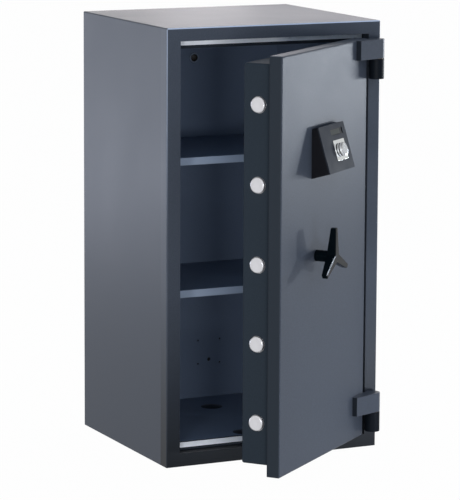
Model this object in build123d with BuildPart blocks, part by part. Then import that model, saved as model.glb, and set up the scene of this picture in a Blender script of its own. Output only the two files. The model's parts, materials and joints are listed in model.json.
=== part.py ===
from build123d import *
import os
from math import acos, asin, atan2, cos, hypot, isclose, radians, sin, tan

# Security safe, shown with its door part open.
# Millimetres. Origin at the centre of the base, +Z up, door towards -Y, hinges on the +X side.
# Door pieces are drawn where they are with the door shut, then placed through on_door().

# Body
width = 538.0
depth = 480.0
height = 1000.0
outer_plate = 4.0
liner_sheet = 3.0
edge_radius = 3.0
edge_left_square = 0.8
jamb_bolt_side = 33.0
jamb_hinge_side = 30.0
head_height = 30.0
sill_height = 30.0
frame_depth = 33.0
wall_bolt_side = 36.5
wall_hinge_side = 48.0
wall_top = 50.0
wall_bottom = 50.0
wall_back = 45.0
channel_width = 50.0
channel_web_inset = 12.0
channel_web_inset_hinge = 29.0
stop_lip = 4.0

# Fire seals on the rebate face
seal_width = 12.0
seal_thickness = 2.2
seal_end_gap = 2.0
seal_gap_bottom = 6.0
seal_gap_top = 0.5
seal_gap_hinge = 3.5

# Shelves, measured to their top faces
shelf_heights = {"lower_shelf": 385.0, "upper_shelf": 692.0}
shelf_sheet = 2.0
shelf_bend = 1.6
shelf_fold = 17.5
shelf_setback = 107.0
shelf_back_gap = 2.0
shelf_side_gap = 1.5
bracket_sheet = 2.0
bracket_reach = 16.0
bracket_drop = 24.0
bracket_width = 24.0
bracket_inset = 46.0

# Floor anchors, cable hole and the fixing holes low on the back wall
anchor_offsets = (-45.0, 0.0)
anchor_front_inset = 27.0
anchor_back_inset = 105.0
anchor_hole = 16.0
plug_cap = 52.0
plug_rise = 2.5
plug_stem = 24.0
plug_stem_length = 14.0
plug_fit = 0.2
cable_hole = 17.0
cable_drop = 67.0
grommet_wall = 2.0
grommet_flange = 26.0
grommet_lip = 1.5
fixing_square = 58.0
fixing_hole = 5.0
fixing_centre = (42.0, 162.0)
centre_hole = 9.0
centre_hole_drop = 20.0
fixing_depth = 15.0

# Hinges
open_angle = 38.8
pin_inset = 19.0
pin_forward = 18.0
knuckle_radius = 17.5
knuckle_height = 46.5
neck_inner = 6.0
neck_outer = 14.0
arm_height = 44.5
arm_reach = 76.0
arm_tip = 11.5
pin_diameter = 12.0
pin_chamfer = 1.2
pin_fit = 0.08
pin_length = 72.0
pin_seat = 6.0
pin_top_gap = 2.0
washer_diameter = 30.0
washer_thickness = 0.8
washer_gap = 0.2
lower_hinge_rise = 41.0
upper_hinge_drop = 132.0
arm_heel_angle = 120.0

# Door slab
door_thickness = 30.0
door_sheet = 4.0
door_radius = 3.0
gap_free = 3.0
gap_hinge = 2.5
gap_bottom = 2.0
gap_top = 9.0

# Bolt-work case behind the slab
case_inset_free = 16.0
case_inset_hinge = 21.5
case_gap_bottom = 3.8
case_gap_top = 8.0
case_depth = 69.0
case_sheet = 2.5
case_bolt_play = 1.25
case_radius = 5.0
cover_border = 30.0
cover_overlap = 12.0
cover_sheet = 1.5
screw_thread = 4.0
screw_head = 9.0
screw_head_height = 2.5
screw_length = 8.0
screw_rows = 4
dog_reach = 15.0
dog_thickness = 10.0
dog_end_gap = 46.0
dog_setback = 28.0

# Locking bolts and their carrier
bolt_count = 5
bolt_end_bottom = 93.5
bolt_end_top = 90.0
bolt_diameter = 35.0
bolt_fit = 0.08
bolt_setback = 33.0
bolt_rest_reach = 5.0
bolt_length = 53.0
bolt_chamfer = 2.5
bolt_throw = 28.0
spigot_diameter = 16.0
thread_diameter = 12.0
nut_across_flats = 18.0
nut_height = 10.0
guide_bar = 8.0
guide_margin = 10.0
carrier_bar = 12.0
carrier_width = 34.0
carrier_overrun = 30.0
carrier_arm = 6.0

# Handle, spindle and crank
handle_x = -43.0
handle_z = 500.0
handle_reach = 52.0
handle_radius = 66.0
handle_hub_depth = 18.0
handle_tip_depth = 11.5
spoke_root = 18.0
spoke_tip = 9.0
spoke_count = 3
handle_turn = 4.0
handle_edge = 1.0
post_diameter = 26.0
post_gap = 0.5
spindle_diameter = 14.0
spindle_grip = 25.0
spindle_fit = 0.05
bush_diameter = 20.0
bush_overrun = 5.0
crank_diameter = 58.0
crank_thickness = 6.0
crank_setback = 8.0
crank_pin = 10.0
crank_swing = 90.0
crank_slot_play = 0.9
crank_slot_margin = 12.0

# Lock: tilted input unit on the front, lock and latch inside
lock_left = -72.0
lock_width = 139.0
lock_base_z = 675.0
lock_tilt = 16.5
lock_foot = 47.0
lock_panel_height = 106.4
fascia = 3.0
lock_wall = 2.5
window_size = (64.0, 14.0)
window_centre = (90.0, 88.0)
window_recess = 1.4
display_glass = 1.2
display_lip = 2.0
plate_size = (59.0, 46.5)
plate_centre = (86.0, 46.3)
plate_thickness = 1.0
knob_diameter = 30.5
knob_height = 10.0
knob_groove = 2.0
knob_rim = 2.2
knob_shaft = 6.0
knob_fit = 0.08
knob_gap = 0.3
board_thickness = 1.6
board_margin = 8.0
battery_size = (48.5, 17.5, 26.5)
battery_gap = 0.3
battery_offset = (18.0, 9.0)
lock_body_size = (62.0, 32.0, 84.0)
latch_width = 12.0
latch_depth = 8.0
latch_length = 50.0
latch_travel = 10.0
latch_fit = 0.2
latch_gap = 2.0
latch_x = -63.0
latch_above_handle = 162.0
lug_play = 1.0
wire_hole = 12.0
hard_plate_thickness = 6.0
hard_plate_margin = 12.0

# Places that follow from the sizes
left = -width / 2
right = width / 2
front = -depth / 2
back = depth / 2
opening_left = left + jamb_bolt_side
opening_right = right - jamb_hinge_side
opening_top = height - head_height
stop_face = front + frame_depth
stop_back = stop_face + liner_sheet
cavity_left = left + wall_bolt_side
cavity_right = right - wall_hinge_side
cavity_floor = wall_bottom
cavity_top = height - wall_top
cavity_back = back - wall_back
anchor_points = [
    (anchor_offsets[0], stop_face + anchor_front_inset),
    (anchor_offsets[1], cavity_back - anchor_back_inset),
]
channel_back = stop_back + channel_width
channel_left = left + channel_web_inset
channel_right = right - channel_web_inset_hinge
channel_end = channel_back + liner_sheet

hinge_x = right - pin_inset
hinge_y = front - pin_forward
hinge_heights = {"lower": lower_hinge_rise, "upper": height - upper_hinge_drop}
cable_height = cavity_top - cable_drop

door_left = opening_left + gap_free
door_right = opening_right - gap_hinge
door_bottom = sill_height + gap_bottom
door_top = opening_top - gap_top
door_front = front
door_back = front + door_thickness

case_left = door_left + case_inset_free
case_right = door_right - case_inset_hinge
case_bottom = cavity_floor + case_gap_bottom
case_top = cavity_top - case_gap_top
case_back = door_back + case_depth

bolt_y = door_back + bolt_setback
bolt_tip = case_left - bolt_rest_reach
bolt_root = bolt_tip + bolt_length
lowest_bolt = case_bottom + bolt_end_bottom
bolt_pitch = (case_top - bolt_end_top - lowest_bolt) / (bolt_count - 1)
bolt_zs = [lowest_bolt + bolt_pitch * i for i in range(bolt_count)]
carrier_right = bolt_root + carrier_bar
carrier_front = bolt_y - carrier_width / 2
carrier_arm_back = carrier_front + carrier_arm

swing = Location((hinge_x, hinge_y, 0)) * Location((0, 0, 0), (0, 0, open_angle))
swing = swing * Location((-hinge_x, -hinge_y, 0))


def on_door(plane):
    """The plane, drawn with the door shut, carried to where the open door has it"""
    return Plane(swing * plane.location)


door_frame = on_door(Plane.XY)
door_along = Axis((0, 0, 0), (cos(radians(open_angle)), sin(radians(open_angle)), 0))
door_inward = Axis((0, 0, 0), (-sin(radians(open_angle)), cos(radians(open_angle)), 0))


def block(x, y, z, mode=Mode.ADD):
    """A block between two limits along each axis, in the frame of the part being built"""
    with Locations((x[0], y[0], z[0])):
        Box(x[1] - x[0], y[1] - y[0], z[1] - z[0], align=(Align.MIN, Align.MIN, Align.MIN), mode=mode)


def rod(centre, z, diameter, mode=Mode.ADD):
    """A vertical round bar, or hole, between two heights"""
    with Locations((centre[0], centre[1], z[0])):
        Cylinder(diameter / 2, z[1] - z[0], align=(Align.CENTER, Align.CENTER, Align.MIN), mode=mode)


def rod_inward(centre, y, diameter, mode=Mode.ADD):
    """A round bar, or hole, along +Y between two depths, at centre (x, z)"""
    with Locations(Location((centre[0], y[0], centre[1]), (-90, 0, 0))):
        Cylinder(diameter / 2, y[1] - y[0], align=(Align.CENTER, Align.CENTER, Align.MIN), mode=mode)


def rod_across(centre, x, diameter, mode=Mode.ADD):
    """A round bar, or hole, along +X between two places, at centre (y, z)"""
    with Locations(Location((x[0], centre[0], centre[1]), (0, 90, 0))):
        Cylinder(diameter / 2, x[1] - x[0], align=(Align.CENTER, Align.CENTER, Align.MIN), mode=mode)


def outer_edges(edges):
    """Edges that lie on two of the body's outer faces, the base apart"""
    def on_two_faces(edge):
        centre = edge.center()
        sides = isclose(abs(centre.X), width / 2, abs_tol=1e-6)
        ends = isclose(abs(centre.Y), depth / 2, abs_tol=1e-6)
        top = isclose(centre.Z, height, abs_tol=1e-6)
        return sides + ends + top >= 2

    return edges.filter_by(on_two_faces)


pieces = {}

# Front frame: four bars that make the flat face and the rebate round the door

with BuildPart() as frame_head:
    block((left, right), (front, stop_face), (opening_top, height))
    fillet(outer_edges(frame_head.edges()), edge_radius)
pieces["frame_head"] = frame_head

with BuildPart() as frame_sill:
    block((left, right), (front, stop_face), (0, sill_height))
    fillet(outer_edges(frame_sill.edges()), edge_radius)
pieces["frame_sill"] = frame_sill

with BuildPart() as frame_bolt_jamb:
    block((left, opening_left), (front, stop_face), (sill_height, opening_top))
    fillet(outer_edges(frame_bolt_jamb.edges()), edge_radius)
pieces["frame_bolt_jamb"] = frame_bolt_jamb

with BuildPart() as frame_hinge_jamb:
    block((opening_right, right), (front, stop_face), (sill_height, opening_top))
    fillet(outer_edges(frame_hinge_jamb.edges()), edge_radius)
pieces["frame_hinge_jamb"] = frame_hinge_jamb

# Outer plates behind the frame
plate_radius = min(edge_radius, outer_plate - edge_left_square)
plates_end = back - outer_plate

with BuildPart() as outer_top:
    block((left, right), (stop_face, plates_end), (height - outer_plate, height))
    fillet(outer_edges(outer_top.edges()), plate_radius)
pieces["outer_top"] = outer_top

with BuildPart() as outer_base:
    block((left, right), (stop_face, plates_end), (0, outer_plate))
    for point in anchor_points:
        rod(point, (0, outer_plate), anchor_hole, Mode.SUBTRACT)
pieces["outer_base"] = outer_base

with BuildPart() as outer_bolt_side:
    block((left, left + outer_plate), (stop_face, plates_end), (outer_plate, height - outer_plate))
pieces["outer_bolt_side"] = outer_bolt_side

with BuildPart() as outer_hinge_side:
    block((right - outer_plate, right), (stop_face, plates_end), (outer_plate, height - outer_plate))
pieces["outer_hinge_side"] = outer_hinge_side

grommet_outside = cable_hole + 2 * grommet_wall

with BuildPart() as outer_back:
    block((left, right), (plates_end, back), (0, height))
    fillet(outer_edges(outer_back.edges()), plate_radius)
    rod_inward((0, cable_height), (plates_end, back), grommet_outside, Mode.SUBTRACT)
pieces["outer_back"] = outer_back

# Inner liner. The floor and ceiling sheets turn along the rebate as its stop face.

with BuildPart() as liner_floor:
    block(
        (cavity_left - liner_sheet, cavity_right + liner_sheet),
        (stop_face, cavity_back),
        (cavity_floor - liner_sheet, cavity_floor),
    )
    block((left + outer_plate, right - outer_plate), (stop_face, stop_back), (outer_plate, cavity_floor))
    for point in anchor_points:
        rod(point, (cavity_floor - liner_sheet, cavity_floor), plug_stem + 2 * plug_fit, Mode.SUBTRACT)
pieces["liner_floor"] = liner_floor

with BuildPart() as liner_ceiling:
    block(
        (cavity_left - liner_sheet, cavity_right + liner_sheet),
        (stop_face, cavity_back),
        (cavity_top, cavity_top + liner_sheet),
    )
    block(
        (left + outer_plate, right - outer_plate),
        (stop_face, stop_back),
        (cavity_top, height - outer_plate),
    )
pieces["liner_ceiling"] = liner_ceiling

with BuildPart() as liner_bolt_side:
    block((cavity_left - liner_sheet, cavity_left), (channel_end, cavity_back), (cavity_floor, cavity_top))
pieces["liner_bolt_side"] = liner_bolt_side

with BuildPart() as liner_hinge_side:
    block(
        (cavity_right, cavity_right + liner_sheet),
        (channel_end, cavity_back),
        (cavity_floor, cavity_top),
    )
pieces["liner_hinge_side"] = liner_hinge_side

fixing_points = [
    (fixing_centre[0] + i * fixing_square / 2, fixing_centre[1] + j * fixing_square / 2)
    for i in (-1, 1)
    for j in (-1, 1)
]
centre_hole_point = (fixing_centre[0], fixing_centre[1] - centre_hole_drop)

with BuildPart() as liner_back:
    block(
        (cavity_left - liner_sheet, cavity_right + liner_sheet),
        (cavity_back, cavity_back + liner_sheet),
        (cavity_floor - liner_sheet, cavity_top + liner_sheet),
    )
    rod_inward(
        (0, cable_height), (cavity_back, cavity_back + liner_sheet), grommet_outside, Mode.SUBTRACT
    )
    for point in fixing_points:
        rod_inward(point, (cavity_back, cavity_back + liner_sheet), fixing_hole, Mode.SUBTRACT)
    rod_inward(centre_hole_point, (cavity_back, cavity_back + liner_sheet), centre_hole, Mode.SUBTRACT)
pieces["liner_back"] = liner_back

# Pressed channels down both jambs: one takes the locking bolts, the other the fixed dog bar

with BuildPart() as bolt_channel:
    block((left + outer_plate, opening_left + stop_lip), (stop_face, stop_back), (cavity_floor, cavity_top))
    block((channel_left - liner_sheet, channel_left), (stop_back, channel_back), (cavity_floor, cavity_top))
    block((channel_left - liner_sheet, cavity_left), (channel_back, channel_end), (cavity_floor, cavity_top))
pieces["bolt_channel"] = bolt_channel

with BuildPart() as dog_channel:
    block((cavity_right, right - outer_plate), (stop_face, stop_back), (cavity_floor, cavity_top))
    block(
        (channel_right, channel_right + liner_sheet), (stop_back, channel_back), (cavity_floor, cavity_top)
    )
    block(
        (cavity_right, channel_right + liner_sheet), (channel_back, channel_end), (cavity_floor, cavity_top)
    )
pieces["dog_channel"] = dog_channel

# Cast barrier that fills the wall between the outer plates and the liner

with BuildPart() as barrier_fill:
    block(
        (left + outer_plate, right - outer_plate),
        (stop_back, plates_end),
        (outer_plate, height - outer_plate),
    )
    block(
        (cavity_left - liner_sheet, cavity_right + liner_sheet),
        (stop_back, cavity_back + liner_sheet),
        (cavity_floor - liner_sheet, cavity_top + liner_sheet),
        Mode.SUBTRACT,
    )
    block(
        (channel_left - liner_sheet, cavity_left),
        (stop_back, channel_end),
        (cavity_floor, cavity_top),
        Mode.SUBTRACT,
    )
    block(
        (cavity_right, channel_right + liner_sheet),
        (stop_back, channel_end),
        (cavity_floor, cavity_top),
        Mode.SUBTRACT,
    )
    for point in anchor_points:
        rod(point, (outer_plate, cavity_floor), anchor_hole, Mode.SUBTRACT)
        rod(
            point,
            (cavity_floor - plug_stem_length - plug_fit, cavity_floor),
            plug_stem + 2 * plug_fit,
            Mode.SUBTRACT,
        )
    rod_inward((0, cable_height), (cavity_back, plates_end), grommet_outside, Mode.SUBTRACT)
    for point in fixing_points:
        rod_inward(point, (cavity_back, cavity_back + fixing_depth), fixing_hole, Mode.SUBTRACT)
    rod_inward(centre_hole_point, (cavity_back, cavity_back + fixing_depth), centre_hole, Mode.SUBTRACT)
pieces["barrier_fill"] = barrier_fill

# Fire seals, pale strips stuck on the rebate face
seal_face = (stop_face - seal_thickness, stop_face)

with BuildPart() as seal_bottom:
    block(
        (opening_left + seal_end_gap, opening_right - seal_end_gap),
        seal_face,
        (sill_height + seal_gap_bottom, sill_height + seal_gap_bottom + seal_width),
    )
pieces["seal_bottom"] = seal_bottom

with BuildPart() as seal_top:
    block(
        (opening_left + seal_end_gap, opening_right - seal_end_gap),
        seal_face,
        (opening_top - seal_gap_top - seal_width, opening_top - seal_gap_top),
    )
pieces["seal_top"] = seal_top

with BuildPart() as seal_hinge_side:
    block(
        (opening_right - seal_gap_hinge - seal_width, opening_right - seal_gap_hinge),
        seal_face,
        (
            sill_height + seal_gap_bottom + seal_width + seal_end_gap,
            opening_top - seal_gap_top - seal_width - seal_end_gap,
        ),
    )
pieces["seal_hinge_side"] = seal_hinge_side

# Shelves: sheet folded down along the front and the back, on brackets fixed to the walls
shelf_front = front + shelf_setback
shelf_back = cavity_back - shelf_back_gap
shelf_sides = (cavity_left + shelf_side_gap, cavity_right - shelf_side_gap)

for name, shelf_z in shelf_heights.items():
    with BuildPart() as shelf:
        block(shelf_sides, (shelf_front, shelf_back), (shelf_z - shelf_sheet, shelf_z))
        block(shelf_sides, (shelf_front, shelf_front + shelf_sheet), (shelf_z - shelf_fold, shelf_z))
        block(shelf_sides, (shelf_back - shelf_sheet, shelf_back), (shelf_z - shelf_fold, shelf_z))
        front_top = shelf.edges().filter_by(Axis.X).group_by(Axis.Z)[-1].sort_by(Axis.Y)[0]
        fillet(front_top, shelf_bend)
    pieces[name] = shelf

with BuildPart() as shelf_brackets:
    for shelf_z in shelf_heights.values():
        seat = shelf_z - shelf_sheet
        for middle in (shelf_front + bracket_inset, shelf_back - bracket_inset):
            along = (middle - bracket_width / 2, middle + bracket_width / 2)
            for wall, side in ((cavity_left, 1), (cavity_right, -1)):
                ledge = sorted((wall, wall + side * bracket_reach))
                leaf = sorted((wall, wall + side * bracket_sheet))
                block(ledge, along, (seat - bracket_sheet, seat))
                block(leaf, along, (seat - bracket_drop, seat))
pieces["shelf_brackets"] = shelf_brackets

# Domed plugs over the floor anchor holes
dome_radius = (plug_cap**2 / 4 + plug_rise**2) / (2 * plug_rise)
dome_half = asin(plug_cap / 2 / dome_radius) / 2

with BuildPart() as anchor_plugs:
    for point in anchor_points:
        section = Plane(origin=(point[0], point[1], cavity_floor), x_dir=(1, 0, 0), z_dir=(0, -1, 0))
        with BuildSketch(section):
            with BuildLine():
                Polyline(
                    (0, plug_rise),
                    (0, -plug_stem_length),
                    (plug_stem / 2, -plug_stem_length),
                    (plug_stem / 2, 0),
                    (plug_cap / 2, 0),
                )
                ThreePointArc(
                    (plug_cap / 2, 0),
                    (dome_radius * sin(dome_half), plug_rise - dome_radius * (1 - cos(dome_half))),
                    (0, plug_rise),
                )
            make_face()
        revolve(axis=Axis((point[0], point[1], 0), (0, 0, 1)))
pieces["anchor_plugs"] = anchor_plugs

with BuildPart() as cable_grommet:
    rod_inward((0, cable_height), (cavity_back - grommet_lip, cavity_back), grommet_flange)
    rod_inward((0, cable_height), (cavity_back, back), grommet_outside)
    rod_inward((0, cable_height), (cavity_back - grommet_lip, back), cable_hole, Mode.SUBTRACT)
pieces["cable_grommet"] = cable_grommet

# Hinges: a knuckle welded to the frame carries the pin, and an arm on the door turns on it
pin_point = (hinge_x, hinge_y)

for name, hinge_z in hinge_heights.items():
    with BuildPart() as knuckle:
        rod(pin_point, (hinge_z, hinge_z + knuckle_height), 2 * knuckle_radius)
        block(
            (hinge_x - neck_inner, hinge_x + neck_outer),
            (hinge_y, front),
            (hinge_z, hinge_z + knuckle_height),
        )
        rod(pin_point, (hinge_z + pin_seat, hinge_z + knuckle_height), pin_diameter, Mode.SUBTRACT)
    pieces[f"hinge_knuckle_{name}"] = knuckle

    with BuildPart() as pin:
        rod(pin_point, (hinge_z + pin_seat, hinge_z + pin_seat + pin_length), pin_diameter)
        chamfer(pin.edges().group_by(Axis.Z)[-1], pin_chamfer)
    pieces[f"hinge_pin_{name}"] = pin

with BuildPart() as hinge_washers:
    for hinge_z in hinge_heights.values():
        seat = hinge_z + knuckle_height
        rod(pin_point, (seat, seat + washer_thickness), washer_diameter)
        rod(pin_point, (seat, seat + washer_thickness), pin_diameter + 2 * pin_fit, Mode.SUBTRACT)
pieces["hinge_washers"] = hinge_washers

# The arm's outline: flat on the door, tapering to its tip, and tangent to the round of the knuckle
tip_outer = (-arm_reach, pin_forward - arm_tip)
tip_angle = atan2(tip_outer[1], tip_outer[0])
tangent_angle = tip_angle + acos(knuckle_radius / hypot(*tip_outer))
heel_angle = radians(arm_heel_angle)


def on_knuckle(angle):
    """A point on the round of the knuckle, about the pin"""
    return (knuckle_radius * cos(angle), knuckle_radius * sin(angle))


for name, hinge_z in hinge_heights.items():
    arm_z = hinge_z + knuckle_height + washer_thickness + washer_gap
    arm_plane = on_door(Plane(origin=(hinge_x, hinge_y, arm_z)))
    with BuildPart() as arm:
        with BuildSketch(arm_plane):
            with BuildLine():
                Polyline(
                    on_knuckle(heel_angle),
                    (door_right - hinge_x, pin_forward),
                    (-arm_reach, pin_forward),
                    tip_outer,
                    on_knuckle(tangent_angle),
                )
                ThreePointArc(on_knuckle(tangent_angle), on_knuckle(0), on_knuckle(heel_angle))
            make_face()
        extrude(amount=arm_height)
        bore_top = hinge_z + pin_seat + pin_length + pin_top_gap
        rod(pin_point, (arm_z, bore_top), pin_diameter + 2 * pin_fit, Mode.SUBTRACT)
    pieces[f"hinge_arm_{name}"] = arm

# Door slab: a pan of sheet closed by a plate, with the barrier cast between them
pan_inner = (
    (door_left + door_sheet, door_right - door_sheet),
    (door_front + door_sheet, door_back),
    (door_bottom + door_sheet, door_top - door_sheet),
)
back_plate_front = door_back - door_sheet
spindle_point = (handle_x, handle_z)
wire_point = (lock_left + lock_width / 2, lock_base_z + lock_panel_height / 2)

with BuildPart(door_frame) as door_pan:
    block((door_left, door_right), (door_front, door_back), (door_bottom, door_top))
    fillet(
        door_pan.edges().group_by(door_inward)[0] + door_pan.edges().filter_by(door_inward),
        door_radius,
    )
    block(*pan_inner, Mode.SUBTRACT)
    rod_inward(spindle_point, (door_front, door_back), bush_diameter, Mode.SUBTRACT)
    rod_inward(wire_point, (door_front, door_back), wire_hole, Mode.SUBTRACT)
pieces["door_pan"] = door_pan

hard_plate_y = (door_front + door_sheet, door_front + door_sheet + hard_plate_thickness)
hard_plate_x = (lock_left + hard_plate_margin, lock_left + lock_width - hard_plate_margin)
hard_plate_z = (lock_base_z + hard_plate_margin, lock_base_z + lock_panel_height - hard_plate_margin)

with BuildPart(door_frame) as hard_plate:
    block(hard_plate_x, hard_plate_y, hard_plate_z)
    rod_inward(wire_point, hard_plate_y, wire_hole, Mode.SUBTRACT)
pieces["hard_plate"] = hard_plate

with BuildPart(door_frame) as door_fill:
    block(pan_inner[0], (door_front + door_sheet, back_plate_front), pan_inner[2])
    block(hard_plate_x, hard_plate_y, hard_plate_z, Mode.SUBTRACT)
    rod_inward(spindle_point, (door_front, back_plate_front), bush_diameter, Mode.SUBTRACT)
    rod_inward(wire_point, (door_front, back_plate_front), wire_hole, Mode.SUBTRACT)
pieces["door_fill"] = door_fill

with BuildPart(door_frame) as door_back_plate:
    block(pan_inner[0], (back_plate_front, door_back), pan_inner[2])
    rod_inward(spindle_point, (back_plate_front, door_back), bush_diameter, Mode.SUBTRACT)
    rod_inward(wire_point, (back_plate_front, door_back), wire_hole, Mode.SUBTRACT)
pieces["door_back_plate"] = door_back_plate

# Bolt-work case, with its cover and screws at the back
case_inner = (
    (case_left + case_sheet, case_right - case_sheet),
    (door_back, case_back - case_sheet),
    (case_bottom + case_sheet, case_top - case_sheet),
)
case_bolt_hole = bolt_diameter + 2 * case_bolt_play
cover_x = (case_left + cover_border - cover_overlap, case_right - cover_border + cover_overlap)
cover_z = (case_bottom + cover_border - cover_overlap, case_top - cover_border + cover_overlap)
screw_inset = cover_overlap / 2
screw_step = (cover_z[1] - cover_z[0] - 2 * screw_inset) / (screw_rows - 1)
screw_points = [
    (x, cover_z[0] + screw_inset + i * screw_step)
    for x in (cover_x[0] + screw_inset, cover_x[1] - screw_inset)
    for i in range(screw_rows)
]

with BuildPart(door_frame) as bolt_case:
    block((case_left, case_right), (door_back, case_back), (case_bottom, case_top))
    fillet(
        bolt_case.edges().group_by(door_inward)[-1] + bolt_case.edges().filter_by(door_inward),
        case_radius,
    )
    block(*case_inner, Mode.SUBTRACT)
    block(
        (case_left + cover_border, case_right - cover_border),
        (case_inner[1][1], case_back),
        (case_bottom + cover_border, case_top - cover_border),
        Mode.SUBTRACT,
    )
    for z in bolt_zs:
        rod_across((bolt_y, z), (case_left, case_inner[0][0]), case_bolt_hole, Mode.SUBTRACT)
    for point in screw_points:
        rod_inward(point, (case_inner[1][1], case_back), screw_thread, Mode.SUBTRACT)
pieces["bolt_case"] = bolt_case

with BuildPart(door_frame) as case_cover:
    block(cover_x, (case_back, case_back + cover_sheet), cover_z)
    for point in screw_points:
        rod_inward(point, (case_back, case_back + cover_sheet), screw_thread, Mode.SUBTRACT)
pieces["case_cover"] = case_cover

with BuildPart(door_frame) as cover_screws:
    screw_seat = case_back + cover_sheet
    for point in screw_points:
        rod_inward(point, (screw_seat - screw_length, screw_seat), screw_thread)
        rod_inward(point, (screw_seat, screw_seat + screw_head_height), screw_head)
pieces["cover_screws"] = cover_screws

with BuildPart(door_frame) as dog_bar:
    block(
        (case_right, case_right + dog_reach),
        (door_back + dog_setback, door_back + dog_setback + dog_thickness),
        (case_bottom + dog_end_gap, case_top - dog_end_gap),
    )
pieces["dog_bar"] = dog_bar

guide_margin_z = bolt_diameter / 2 + guide_margin

with BuildPart(door_frame) as bolt_guide:
    block(
        (case_inner[0][0], case_inner[0][0] + guide_bar),
        (bolt_y - bolt_diameter / 2 - guide_margin, bolt_y + bolt_diameter / 2 + guide_margin),
        (bolt_zs[0] - guide_margin_z, bolt_zs[-1] + guide_margin_z),
    )
    for z in bolt_zs:
        rod_across(
            (bolt_y, z),
            (case_inner[0][0], case_inner[0][0] + guide_bar),
            bolt_diameter + 2 * bolt_fit,
            Mode.SUBTRACT,
        )
pieces["bolt_guide"] = bolt_guide

# Locking bolts on their carrier
for number, z in enumerate(bolt_zs, start=1):
    with BuildPart(door_frame) as locking_bolt:
        rod_across((bolt_y, z), (bolt_tip, bolt_root), bolt_diameter)
        chamfer(locking_bolt.edges().group_by(door_along)[0], bolt_chamfer)
        rod_across((bolt_y, z), (bolt_root, carrier_right), spigot_diameter)
        rod_across((bolt_y, z), (carrier_right, carrier_right + nut_height + case_sheet), thread_diameter)
    pieces[f"locking_bolt_{number}"] = locking_bolt

with BuildPart(door_frame) as bolt_nuts:
    for z in bolt_zs:
        nut_plane = on_door(Plane(origin=(carrier_right, bolt_y, z), x_dir=(0, 1, 0), z_dir=(1, 0, 0)))
        with BuildSketch(nut_plane):
            RegularPolygon(nut_across_flats / 2, 6, major_radius=False)
            Circle(thread_diameter / 2, mode=Mode.SUBTRACT)
        extrude(amount=nut_height)
pieces["bolt_nuts"] = bolt_nuts

# The crank pin swings from one side of the spindle to the other while the carrier makes its throw
crank_radius = bolt_throw / 2 / sin(radians(crank_swing / 2))
crank_pin_x = handle_x + bolt_throw / 2
crank_pin_z = handle_z + crank_radius * cos(radians(crank_swing / 2))
slot_width = crank_pin + 2 * crank_slot_play
slot_z = (crank_pin_z - slot_width / 2, handle_z + crank_radius + slot_width / 2)
latch_bottom = handle_z + latch_above_handle
latch_lug_top = latch_bottom - latch_gap
latch_arm_top = latch_bottom - latch_travel - latch_gap
latch_right = latch_x + latch_width
lug_left = latch_right + lug_play
lug_right = latch_x + bolt_throw - lug_play
latch_y = (carrier_front - lug_play, carrier_arm_back + lug_play)

with BuildPart(door_frame) as bolt_carrier:
    block(
        (bolt_root, carrier_right),
        (carrier_front, carrier_front + carrier_width),
        (bolt_zs[0] - carrier_overrun, bolt_zs[-1] + carrier_overrun),
    )
    for z in bolt_zs:
        rod_across((bolt_y, z), (bolt_root, carrier_right), spigot_diameter, Mode.SUBTRACT)
    arm_y = (carrier_front, carrier_arm_back)
    block(
        (carrier_right, crank_pin_x + slot_width / 2 + crank_slot_margin),
        arm_y,
        (slot_z[0] - crank_slot_margin, slot_z[1] + crank_slot_margin),
    )
    block(
        (crank_pin_x - slot_width / 2, crank_pin_x + slot_width / 2),
        arm_y,
        slot_z,
        Mode.SUBTRACT,
    )
    block((carrier_right, lug_right), arm_y, (latch_arm_top - crank_slot_margin, latch_arm_top))
    block((lug_left, lug_right), arm_y, (latch_arm_top, latch_lug_top))
pieces["bolt_carrier"] = bolt_carrier

# Handle with three tapering spokes on a round post
hub_face = door_front - handle_reach
hub_back = hub_face + handle_hub_depth
spoke_plane = on_door(Plane(origin=(handle_x, hub_back, handle_z), x_dir=(1, 0, 0), z_dir=(0, -1, 0)))
handle_axis = Axis(spoke_plane.origin, spoke_plane.z_dir)
taper_plane = on_door(Plane(origin=(handle_x, hub_back, handle_z), x_dir=(1, 0, 0), z_dir=(0, 0, 1)))
tip_thinning = handle_hub_depth - handle_tip_depth

with BuildPart(door_frame) as handle:
    with BuildSketch(spoke_plane):
        with PolarLocations(0, spoke_count, start_angle=90 + handle_turn):
            Polygon(
                (0, -spoke_root / 2),
                (handle_radius, -spoke_tip / 2),
                (handle_radius, spoke_tip / 2),
                (0, spoke_root / 2),
                align=None,
            )
    extrude(amount=handle_hub_depth)
    chamfer(handle.faces().sort_by(door_inward)[0].edges(), handle_edge)
    with BuildSketch(taper_plane):
        with BuildLine():
            Polyline(
                (post_diameter / 2, 0),
                (2 * handle_radius - post_diameter / 2, -2 * tip_thinning),
                (2 * handle_radius - post_diameter / 2, post_diameter),
                (post_diameter / 2, post_diameter),
                close=True,
            )
        make_face()
    revolve(axis=handle_axis, mode=Mode.SUBTRACT)
    rod_inward(spindle_point, (hub_back - handle_edge, door_front - post_gap), post_diameter)
    rod_inward(
        spindle_point,
        (door_front - post_gap - spindle_grip, door_front - post_gap),
        spindle_diameter + 2 * spindle_fit,
        Mode.SUBTRACT,
    )
pieces["handle"] = handle

crank_front = door_back + crank_setback
crank_back = crank_front + crank_thickness

with BuildPart(door_frame) as handle_spindle:
    rod_inward(spindle_point, (door_front - post_gap - spindle_grip, crank_front), spindle_diameter)
    rod_inward(spindle_point, (crank_front, crank_back), crank_diameter)
    rod_inward((crank_pin_x, crank_pin_z), (crank_back, carrier_arm_back + latch_gap), crank_pin)
pieces["handle_spindle"] = handle_spindle

with BuildPart(door_frame) as spindle_bush:
    rod_inward(spindle_point, (door_front, door_back + bush_overrun), bush_diameter)
    rod_inward(
        spindle_point,
        (door_front, door_back + bush_overrun),
        spindle_diameter + 2 * spindle_fit,
        Mode.SUBTRACT,
    )
pieces["spindle_bush"] = spindle_bush

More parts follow.
